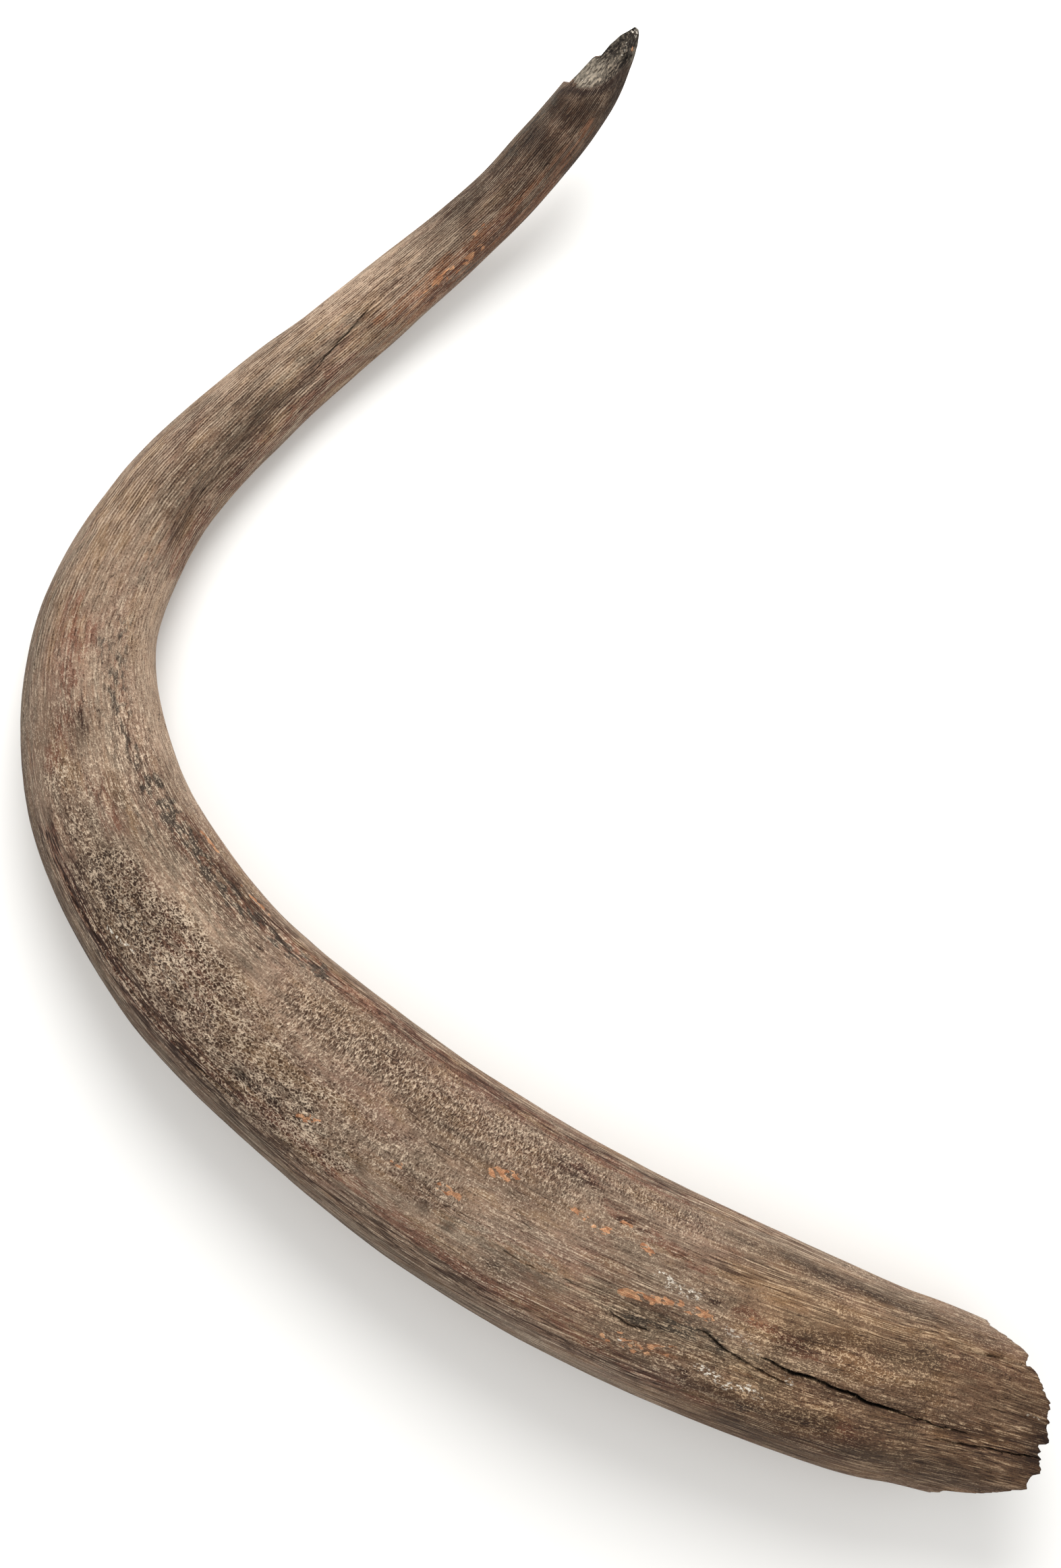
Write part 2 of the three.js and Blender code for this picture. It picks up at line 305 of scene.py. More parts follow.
# %% Flake scars
# Scars: middle along, middle around, half length, half width and depth.
SCARS = [
    (262, 112, 46, 15, 2.2),
    (330, 86, 34, 13, 2),
    (1080, 196, 40, 12, 2),
    (420, 262, 60, 20, 2.4),
    (60, 74, 60, 6, 0.8),
    (1010, 128, 24, 7, 0.8),
    (690, 196, 50, 14, 1.4),
    (1290, 262, 46, 10, 1.2),
    (120, 300, 70, 16, 1.5),
]
SCAR_RAGGED, SCAR_DISH = 0.28, 0.3
SCAR_EDGE = (0.88, 1.02)


def scar_depths(along, around, half, straight):
    """The depth of the flake scars, each a ragged oval with a steep edge."""
    depth = np.zeros(np.shape(along))
    ragged = SCAR_RAGGED * rough(straight, 14, 9, 51, 3)
    for mid_along, mid_around, long, wide, deep in SCARS:
        x = (along - mid_along) / long
        y = wrap(around - mid_around) * np.radians(half) / wide
        reach = np.hypot(x, y) + ragged
        floor_depth = deep * (1 - smooth_step(reach, *SCAR_EDGE)) * (1 - SCAR_DISH * reach**2)
        depth = np.maximum(depth, floor_depth)
    return depth


print(len(SCARS), "flake scars, the deepest", max(scar[-1] for scar in SCARS), "mm")

# %% [markdown]
# ## Pits, knobs and the small relief
# Old ivory is never smooth from close by. Some small pits have puckered skin round them, and the
# upper arm is combed into fine ribs like driftwood. The bend carries a net of low ridges. Only what
# is wider than the mesh's own spacing is shaped here: anything finer is left to the finish.

# %% Pits, knobs and patches
# Pits and knobs: along, around, radius, and depth or height.
PITS = [(482, 108, 6, 3), (460, 110, 5, 3), (428, 108, 5, 2), (645, 116, 7, 3.5), (536, 112, 6, 3)]
KNOBS = [(1061, 138, 5, 1.6), (988, 64, 4, 1), (1016, 82, 5, 1), (774, 124, 4, 1.2)]
# Patches: a line of [along, around] points, half width and strength.
NETWORK_PATCHES = [
    ([[570, 108], [660, 110], [740, 110], [800, 112]], 36, 1.0),
    ([[640, 84], [760, 86]], 20, 0.8),
    ([[480, 96], [580, 90]], 24, 0.6),
    ([[815, 110], [880, 112]], 28, 0.48),
    ([[620, 206], [900, 214]], 50, 0.7),
]
CRUMBLED = [([[205, 106], [262, 103], [345, 99]], 15, 1.0), ([[300, 86], [350, 84]], 9, 0.7)]


def painted(patches, along, around, half):
    """A mask from 0 to 1: the strongest of some soft lines, each with a half width in millimetres."""
    mask = np.zeros(np.shape(along))
    for line, width, strength in patches:
        away = distance_to(line, along, around, half)
        mask = np.maximum(mask, strength * np.exp(-((away / width) ** 2)))
    return mask


def dimples(places, along, around, half):
    """Round bumps of the given radius and height."""
    height = np.zeros(np.shape(along))
    for mid_along, mid_around, radius, tall in places:
        away = np.hypot(along - mid_along, wrap(around - mid_around) * np.radians(half))
        height += tall * np.exp(-((away / radius) ** 2))
    return height


print(len(PITS), "pits,", len(KNOBS), "knobs,", len(NETWORK_PATCHES), "patches of net")

# %% Small relief
COMBED_FROM, COMBED_FULL = 860, 1080
SWELL_HEIGHT, RIB_HEIGHT, COMBED_EXTRA = 0.55, 0.2, 0.3
NET_HEIGHT, GRAIN_HEIGHT, CRUMBLED_HEIGHT = 0.45, 0.12, 0.9
FULL_RIBS_HALF_WIDTH = 40


def small_relief(along, around, half, straight):
    """Ribs, net, grain and crumbled skin, each noise of its own length and width in millimetres."""
    network = painted(NETWORK_PATCHES, along, around, half)
    combed = smooth_step(along, COMBED_FROM, COMBED_FULL)
    rib_height = RIB_HEIGHT + COMBED_EXTRA * combed
    height = SWELL_HEIGHT * rough(straight, 75, 30, 61)
    height += rib_height * rough(straight, 60, 8, 63) * np.minimum(1, half / FULL_RIBS_HALF_WIDTH)
    height += NET_HEIGHT * network * rough(straight, 9, 8, 65)
    height += GRAIN_HEIGHT * rough(straight, 20, 4, 67)
    height += CRUMBLED_HEIGHT * painted(CRUMBLED, along, around, half) * rough(straight, 7, 5, 69)
    return height


print("ribs:", RIB_HEIGHT, "mm on the body and", RIB_HEIGHT + COMBED_EXTRA, "mm on the upper arm")

# %% [markdown]
# ## The broken ends
# The thin wall round the pulp cavity has crumbled into a ragged rim. At the tip the tusk has
# snapped: a ragged edge crosses the upper side, and two rough faces run down from it to the point.

# %% The root's rim
# Rim: degrees round, and how far the edge is set back.
RIM = np.array([
    [0, 62], [7, 61], [14, 47], [22, 36], [31, 31], [38, 33], [44, 24], [50, 19], [60, 10],
    [76, 6], [86, 3], [91, 8], [98, 3], [107, 1], [116, 7], [123, 4], [132, 18], [146, 34],
    [156, 55], [180, 67], [205, 60], [226, 47], [246, 52], [268, 44], [290, 49], [312, 41],
    [332, 55], [360, 62],
])
RIM_REACH = 96
TOOTH_DEGREES, FINER_TEETH = 3.2, 2.7
TOOTH_HEIGHT, FINER_TOOTH_HEIGHT = 1.8, 1.2


def rim_set_back(around):
    """How far the root's edge is broken back, with small teeth that only this mesh carries."""
    teeth = np.stack([around / TOOTH_DEGREES, np.zeros_like(around), np.zeros_like(around)], axis=-1)
    ragged = TOOTH_HEIGHT * lattice_noise(teeth, 71)
    ragged = ragged + FINER_TOOTH_HEIGHT * lattice_noise(teeth * FINER_TEETH, 72)
    return np.interp(around % 360, RIM[:, 0], RIM[:, 1]) + ragged


print(f"the rim is set back by up to {rim_set_back(np.arange(360.0)).max():.0f} mm")

# %% The tip's break
# Edge: [across, along] where the upper face begins. Outer side: [along, half width left there].
BREAK_EDGE = np.array([
    [-20, 1537], [-17, 1541], [-12, 1547], [-5, 1551], [-1, 1554],
    [4, 1561], [8, 1568], [11, 1575], [14, 1584], [22, 1607],
])
BREAK_OUTER_SIDE = np.array([
    [1541, 200], [1543, 17], [1555, 15], [1570, 13.6], [1573, 9.6],
    [1585, 8.6], [1595, 6.3], [1600, 3.8], [1608, 0.5],
])
BREAK_SCARP, BREAK_STEEP_FALL = 2, 0.55
BREAK_LEDGE, BREAK_SHALLOW_FALL = 2.5, 0.1
BREAK_RAGGED, LEDGE_SPLINTERS = 1.6, 0.8
BREAK_HOLE = (1583, 8.5, 4, 5)  # along, across, radius and depth


def break_height(along, across, half, straight):
    """The height of the two faces of the tip's break over the middle line, and infinity before it."""
    edge = np.interp(across, BREAK_EDGE[:, 0], BREAK_EDGE[:, 1])
    past = along - edge - BREAK_RAGGED * rough(straight, 9, 2.2, 81, 2)
    splinters = rough(straight, 16, 2.4, 83, 3)
    hole_along, hole_across, hole_radius, hole_depth = BREAK_HOLE
    away = np.hypot(along - hole_along, across - hole_across)
    splinters = splinters - hole_depth * np.exp(-((away / hole_radius) ** 2))
    steep = half * HEIGHT_TO_WIDTH - BREAK_SCARP - BREAK_STEEP_FALL * past + splinters
    shallow = BREAK_LEDGE - BREAK_SHALLOW_FALL * past + LEDGE_SPLINTERS * splinters
    return np.where(past > 0, np.maximum(steep, shallow), np.inf)


print(f"the break is {LENGTH - BREAK_EDGE[0, 1]:.0f} mm long")

# %% [markdown]
# ## The skin
# One function turns along and around into a point: a section of the middle line, pushed out by all
# the relief and cut off by the break. It also keeps what it found on the way, such as how deep in a
# crack each point is, because the finish needs that later.

# %% A point of the skin
LEAST_HALF_WIDTH = 2
BREAK_BLEND = (-0.3, 0.6)
DARK_CRACK_DEPTH, DARK_PIT_DEPTH, PIT_DARKNESS = 5, 3, 0.5


def skin(along, around):
    """The skin's points in millimetres, and what the finish needs to know about each."""
    centre, side, top, half = section(along)
    girth = np.maximum(half, LEAST_HALF_WIDTH)
    straight = straightened(along, around, girth)
    cracks, lips = crack_depths(along, around, girth, straight)
    scars = scar_depths(along, around, girth, straight)
    fine = small_relief(along, around, girth, straight)
    pits = dimples(PITS, along, around, girth)
    out = growth_relief(along, around, half) + fine + lips + dimples(KNOBS, along, around, girth)
    out = out - cracks - scars - pits
    angle = np.radians(around)
    outer = np.interp(along, BREAK_OUTER_SIDE[:, 0], BREAK_OUTER_SIDE[:, 1])
    across = np.maximum(np.cos(angle) * (half + out), -outer)
    plain = np.sin(angle) * (half * HEIGHT_TO_WIDTH + out)
    limit = break_height(along, across, half, straight)
    up = np.minimum(plain, limit)
    point = centre + side * across[..., None] + top * up[..., None]
    point[..., 2] = np.maximum(point[..., 2], 0)
    broken = smooth_step(plain - limit, *BREAK_BLEND)
    # painted shade for the finish: cracks and pits are darker the deeper they go
    sunk_shade = np.clip(cracks / DARK_CRACK_DEPTH, 0, 1)
    sunk_shade = sunk_shade + PIT_DARKNESS * np.clip(pits / DARK_PIT_DEPTH, 0, 1)
    return point, {"straight": straight, "crack": np.clip(sunk_shade, 0, 1), "break": broken}


top_of_bend = skin(np.array([330.0]), np.array([90.0]))[0][0]
print(f"the skin is {top_of_bend[2]:.0f} mm high where the tusk is thick")


# %% [markdown]
# ## The mesh
# The skin becomes a mesh of rings. Fine rings make the thick half, and rings with half as many
# points make the thin arm, so that the faces stay about the same size. The points round each ring
# are drawn together on the upper side and along each crack, where the shape changes fastest. The
# rings go on over the rim and down the inside of the pulp cavity, so that the tusk is one closed
# shell.

# %% Places of the rings
SIDES = 252
RING_STEP, RIM_STEP, TIP_STEP = 3.85, 2.2, 1.5
RIM_BAND, JOIN, TIP_FROM = 40, 1000, 1528
UPPER_DRAW = 11
LEAST_DRAWN_HALF_WIDTH = 4
CRACK_DRAW, CRACK_DRAW_WIDTH, CRACK_MARGIN, CRACK_DRAW_FADE = 0.5, 12, 25, 0.12


def steps_between(start, end, step):
    """Even steps near the given size, without the end itself."""
    return np.linspace(start, end, round((end - start) / step) + 1)[:-1]


def ring_angles(along, count):
    """Angles round each ring, drawn towards the upper side and towards every crack."""
    share = np.arange(count) / count
    plain = 360 * share + UPPER_DRAW * np.cos(2 * np.pi * share)
    around = np.broadcast_to(plain, (len(along), count)).copy()
    half = section(along)[3][:, None]
    per_degree = np.radians(np.maximum(half, LEAST_DRAWN_HALF_WIDTH))
    for line, _, _ in CRACKS + FAINT_CRACKS:
        places = np.array(line)
        middle = np.interp(along, places[:, 0], places[:, 1])[:, None]
        reach = [[line[0][0] - CRACK_MARGIN, 0], [line[-1][0] + CRACK_MARGIN, 0]]
        near = fading(along, reach, CRACK_DRAW_FADE)[:, None]
        away = wrap(around - middle) * per_degree
        pull = CRACK_DRAW * near * np.exp(-((away / CRACK_DRAW_WIDTH) ** 2))
        around -= away * pull / per_degree
    return around


FINE_RINGS = np.concatenate([
    steps_between(0, RIM_BAND, RIM_STEP),
    steps_between(RIM_BAND, JOIN, RING_STEP),
    [JOIN],
])
COARSE_RINGS = np.concatenate([
    steps_between(JOIN, TIP_FROM, RING_STEP)[1:],
    steps_between(TIP_FROM, LENGTH - 1, TIP_STEP),
    [LENGTH - 1],
])
print(len(FINE_RINGS), "fine rings,", len(COARSE_RINGS), "coarse rings")


# %% Rings of the skin
def set_back(along, around):
    """Moves the places near the root back from its broken rim."""
    return along + rim_set_back(around) * np.maximum(0, 1 - along / RIM_REACH)


fine_around = ring_angles(FINE_RINGS, SIDES)
fine_points, fine_facts = skin(set_back(FINE_RINGS[:, None], fine_around), fine_around)
coarse_around = ring_angles(COARSE_RINGS, SIDES)[:, ::2]
coarse_along = np.broadcast_to(COARSE_RINGS[:, None], coarse_around.shape)
coarse_points, coarse_facts = skin(coarse_along, coarse_around)
print("upper point of the skin:", round(float(fine_points[..., 2].max()), 1), "mm")

# %% Rings of the pulp cavity
RIM_WALL, RIM_BEVEL = 13, 5
CAVITY_DEPTH = 210
MOUTH_ROUNDING, MOUTH_ROUNDING_SHARE = 3.5, 0.015
GROWTH_STEP_HEIGHT = 0.5
DEEP_SHARES, MOUTH_SHARES = [0.995, 0.96, 0.9], [0.08, 0.05, 0.025, 0.01, 0]
CAVITY_SHARES = np.concatenate([DEEP_SHARES, np.linspace(0.84, 0.12, 13), MOUTH_SHARES])


def cavity_wall(share, around):
    """The pulp cavity: a cone that narrows from the rim, with faint growth steps on its wall."""
    mouth = rim_set_back(around) + RIM_BEVEL
    along = mouth + (CAVITY_DEPTH - mouth) * share
    centre, side, top, half = section(along)
    straight = straightened(along, around, half)
    rounding = MOUTH_ROUNDING * np.exp(-share / MOUTH_ROUNDING_SHARE)
    growth_steps = GROWTH_STEP_HEIGHT * rough(straight, 12, 26, 91, 3)
    radius = (half - RIM_WALL) * (1 - share) + rounding + growth_steps
    angle = np.radians(around)
    across = np.cos(angle) * radius
    up = np.sin(angle) * radius * HEIGHT_TO_WIDTH
    return centre + side * across[..., None] + top * up[..., None], straight


inner_around = np.broadcast_to(fine_around[0], (len(CAVITY_SHARES), SIDES))
inner_points, inner_straight = cavity_wall(CAVITY_SHARES[:, None], inner_around)
print(len(CAVITY_SHARES), "rings down the pulp cavity,", CAVITY_DEPTH, "mm deep")


# %% One closed shell
def quads(first, rings, count):
    """Faces between rings of equal count, whose points are numbered from first."""
    ring, place = np.meshgrid(np.arange(rings - 1), np.arange(count), indexing="ij")
    here = first + ring * count + place
    beside = first + ring * count + (place + 1) % count
    return np.stack([here, here + count, beside + count, beside], axis=-1).reshape(-1, 4)


def cap(centre, first, count, inward):
    """Triangles from a ring to one point that closes it."""
    ring = first + np.arange(count)
    step = np.roll(ring, -1)
    a, b = (ring, step) if inward else (step, ring)
    return np.stack([np.full(count, centre), b, a], axis=-1)


half_count = SIDES // 2
shell_rings = len(CAVITY_SHARES) + len(FINE_RINGS)
coarse_first = shell_rings * SIDES
join_first = (shell_rings - 1) * SIDES
last_first = coarse_first + (len(COARSE_RINGS) - 1) * half_count
place = np.arange(half_count)
after = (place + 1) % half_count
join_faces = np.stack([
    join_first + 2 * place,
    coarse_first + place,
    coarse_first + after,
    join_first + 2 * after,
    join_first + 2 * place + 1,
], axis=-1)
points = np.concatenate([part.reshape(-1, 3) for part in (inner_points, fine_points, coarse_points)])
inner_end = inner_points[0].mean(axis=0)
tip_point = coarse_points[-1].mean(axis=0)
points = np.vstack([points, inner_end, tip_point])
faces = [
    *quads(0, shell_rings, SIDES).tolist(),
    *join_faces.tolist(),
    *quads(coarse_first, len(COARSE_RINGS), half_count).tolist(),
    *cap(len(points) - 2, 0, SIDES, True).tolist(),
    *cap(len(points) - 1, last_first, half_count, False).tolist(),
]
print(len(points), "points,", len(faces), "faces,", sum(len(face) - 2 for face in faces), "triangles")

# %% Place it where the CAD solid is
MM = 0.001
low, high = (np.array(corner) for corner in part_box("tusk"))
middle = (low + high) / 2
own_middle = (points.min(axis=0) + points.max(axis=0)) / 2 * MM
shift = np.array([middle[0] - own_middle[0], middle[1] - own_middle[1], low[2]])
mesh = bpy.data.meshes.new("tusk_skin")
mesh.from_pydata((points * MM + shift).tolist(), [], faces)
mesh.update()
mesh.shade_smooth()
tusk = bpy.data.objects.new("tusk_skin", mesh)
bpy.context.scene.collection.objects.link(tusk)
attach(tusk, "root")
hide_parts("tusk")
print("shift from the stations' frame in mm:", np.round(shift / MM, 2))

# %% [markdown]
# ## What the finish knows about each place
# A material can read numbers that are stored on the mesh. Here each point is given its straight
# place, for patterns that follow the grain, and a mask for every kind of weathering and for the
# painted light and shade. An image would have to be unwrapped onto the curved skin, so the masks are
# strokes instead: a line of [along, around] points, a half width in millimetres and a strength. The
# material breaks their edges up with noise. The first masks say which relief shows where.

# %% Masks of the relief
MASKS = {
    "network": NETWORK_PATCHES,
    "crosswise": [
        ([[400, 44], [520, 50], [640, 56]], 36, 1.0),
        ([[300, 34], [420, 36]], 20, 0.8),
        ([[470, 92], [560, 96]], 26, 0.6),
    ],
    "wormy": [
        ([[40, 86], [130, 77], [190, 77], [260, 82]], 20, 1.0),
        ([[330, 60], [420, 62], [560, 72]], 26, 0.9),
        ([[120, 112], [230, 116], [330, 116]], 22, 0.85),
        ([[100, 92], [200, 90], [300, 94]], 14, 0.8),
        ([[380, 100], [480, 104], [600, 104]], 18, 0.9),
        ([[240, 26], [420, 26], [640, 36]], 20, 0.7),
        ([[640, 40], [760, 58], [900, 60], [1010, 66]], 28, 0.85),
        ([[820, 100], [920, 96], [1060, 90]], 30, 0.8),
    ],
    "combed": [
        ([[1130, 90], [1600, 90]], 130, 1.0),
        ([[200, 8], [700, 14]], 14, 1.0),
        ([[-10, 90], [30, 90]], 50, 0.8),
        ([[60, 150], [300, 158], [800, 160]], 22, 0.9),
    ],
    "flaky": [
        ([[630, 30], [760, 46], [900, 56], [1030, 60]], 30, 0.6),
        ([[1030, 60], [1180, 72]], 20, 0.35),
        ([[170, 104], [260, 106], [340, 100]], 16, 0.7),
    ],
    "furrowed": [
        ([[850, 140], [822, 138], [766, 136], [737, 136], [640, 134]], 16, 1.0),
        ([[320, 14], [441, 20], [614, 22], [754, 28]], 12, 0.6),
        ([[1129, 64], [1107, 54], [1077, 52]], 6, 0.5),
        ([[1180, 62], [1242, 62], [1290, 80], [1350, 96]], 9, 0.5),
        ([[0, 100], [60, 102], [120, 104]], 30, 0.5),
        ([[250, 56], [320, 52], [412, 42]], 10, 0.4),
        ([[640, 140], [500, 136], [420, 132], [280, 134]], 15, 0.7),
    ],
}
print("strokes of relief:", sum(len(strokes) for strokes in MASKS.values()))

# %% [markdown]
# ### Rust, umber and the dark break
# Water in the ground carries iron, which dyes ivory. Iron and rusty are its orange and its reddish
# brown. Umber is the dark brown where it soaked in, and also painted shade along the lower outer
# flank. The far face of the break is painted darker, the crevice beside it carries a painted shadow,
# and tea is a thin warm wash on the root.

# %% Masks of what the ground left, and some painted shade
MASKS |= {
    "iron": [
        ([[1320, 58], [1355, 60], [1385, 60]], 11, 1.0),
        ([[1385, 58], [1430, 54], [1480, 50]], 10, 0.6),
        ([[1310, 36], [1430, 36], [1530, 40]], 12, 0.6),
        ([[1362, 48], [1390, 46], [1420, 38]], 9, 0.9),
        ([[1335, 22], [1400, 20], [1480, 24]], 9, 0.7),
        ([[941, 90], [890, 88]], 22, 0.35),
        ([[330, 120], [307, 118], [282, 112]], 10, 0.5),
        ([[700, 56], [640, 60]], 12, 0.3),
        ([[236, 76], [218, 80], [200, 84]], 7, 0.4),
        ([[60, 66], [110, 74], [160, 76]], 20, 0.3),
    ],
    "rusty": [
        ([[320, 18], [441, 22], [519, 23], [614, 25], [681, 26], [754, 30], [820, 36]], 11, 0.85),
        ([[465, 124], [434, 126], [408, 124], [364, 122], [327, 128], [240, 134]], 8, 0.8),
        ([[850, 136], [822, 138], [766, 136], [737, 136], [600, 120], [465, 124]], 9, 0.9),
        ([[412, 42], [398, 38], [353, 56], [335, 56], [280, 62]], 8, 0.7),
        ([[250, 74], [218, 80], [190, 84]], 9, 0.7),
        ([[151, 114], [140, 122]], 7, 0.7),
        ([[1001, 112], [984, 108], [962, 100], [925, 102], [894, 118]], 14, 0.7),
        ([[952, 70], [987, 88]], 12, 0.6),
        ([[700, 36], [780, 46], [860, 56], [960, 66]], 15, 0.55),
        ([[868, 88], [840, 84]], 16, 0.6),
        ([[800, 90], [700, 96]], 24, 0.6),
        ([[1060, 20], [1180, 30], [1290, 40]], 16, 0.7),
        ([[1330, 40], [1440, 44]], 12, 0.7),
    ],
    # umber: dark brown stain, and painted shade on the lower outer flank
    "umber": [
        ([[1412, 64], [1420, 110]], 16, 0.54),
        ([[1388, 60], [1396, 134]], 18, 0.32),
        ([[1440, 50], [1490, 54]], 11, 0.55),
        ([[1460, 138], [1510, 130]], 10, 0.7),
        ([[-8, 60], [6, 100]], 20, 0.85),
        ([[110, 27], [230, 27]], 9, 0.45),
        ([[160, 118], [190, 124], [262, 126]], 9, 0.5),
        ([[200, 76], [215, 86]], 8, 0.5),
        ([[560, 128], [600, 140], [620, 152]], 14, 0.3),
        ([[1430, 118], [1450, 90], [1490, 84]], 26, 0.52),
        ([[1500, 60], [1500, 130]], 26, 0.88),
        ([[1535, 60], [1530, 130]], 20, 1.0),
        ([[1480, 200], [1600, 200]], 40, 0.7),
        ([[1500, 10], [1610, 14]], 18, 0.95),
        ([[1400, 20], [1500, 14]], 14, 0.6),
        # painted shade along the lower outer flank
        ([[150, 150], [250, 150]], 30, 0.5),
        ([[460, 154], [560, 154], [760, 156]], 28, 0.45),
        ([[700, 126], [860, 128], [1000, 132]], 26, 0.25),
        ([[-10, 124], [60, 127]], 32, 0.6),
        ([[-10, 56], [60, 66]], 50, 0.6),
        ([[60, 101], [130, 102], [230, 102]], 10, 0.2),
        ([[1060, 50], [1130, 64], [1220, 70]], 15, 0.3),
        ([[1060, 110], [1150, 110], [1240, 100]], 26, 0.25),
        ([[300, 92], [340, 92]], 16, 0.4),
        ([[924, 92], [910, 93]], 10, 0.5),
    ],
    "soot": [
        # the far face of the break, painted darker
        ([[1579, 120], [1590, 98], [1603, 86]], 8, 0.95),
        ([[1588, 90], [1592, 70], [1600, 60]], 9, 0.85),
        # painted shadow in the crevice beside the first face of the break
        ([[1551, 58], [1562, 62], [1573, 66], [1584, 58]], 5.5, 1.0),
        ([[1590, 56], [1606, 64]], 7, 0.85),
    ],
    "tea": [
        ([[-20, 60], [100, 62], [220, 66]], 50, 0.9),
        ([[-20, 110], [120, 112], [220, 112]], 50, 0.9),
        ([[-20, 150], [240, 150]], 40, 0.9),
        ([[260, 100], [340, 110]], 30, 0.5),
    ],
}
print("with rust, umber and soot:", sum(len(strokes) for strokes in MASKS.values()))

# %% [markdown]
# ### Dirt and painted shade
# Soil stays where nothing rubs it off. Grime is a thick dark wash of such dirt that is also painted
# shade: it darkens flanks that face away from the lamp and the foot of the break's edge. A thinner
# wash is painted shade alone, and a painted shadow line marks where the skin ends at the break.

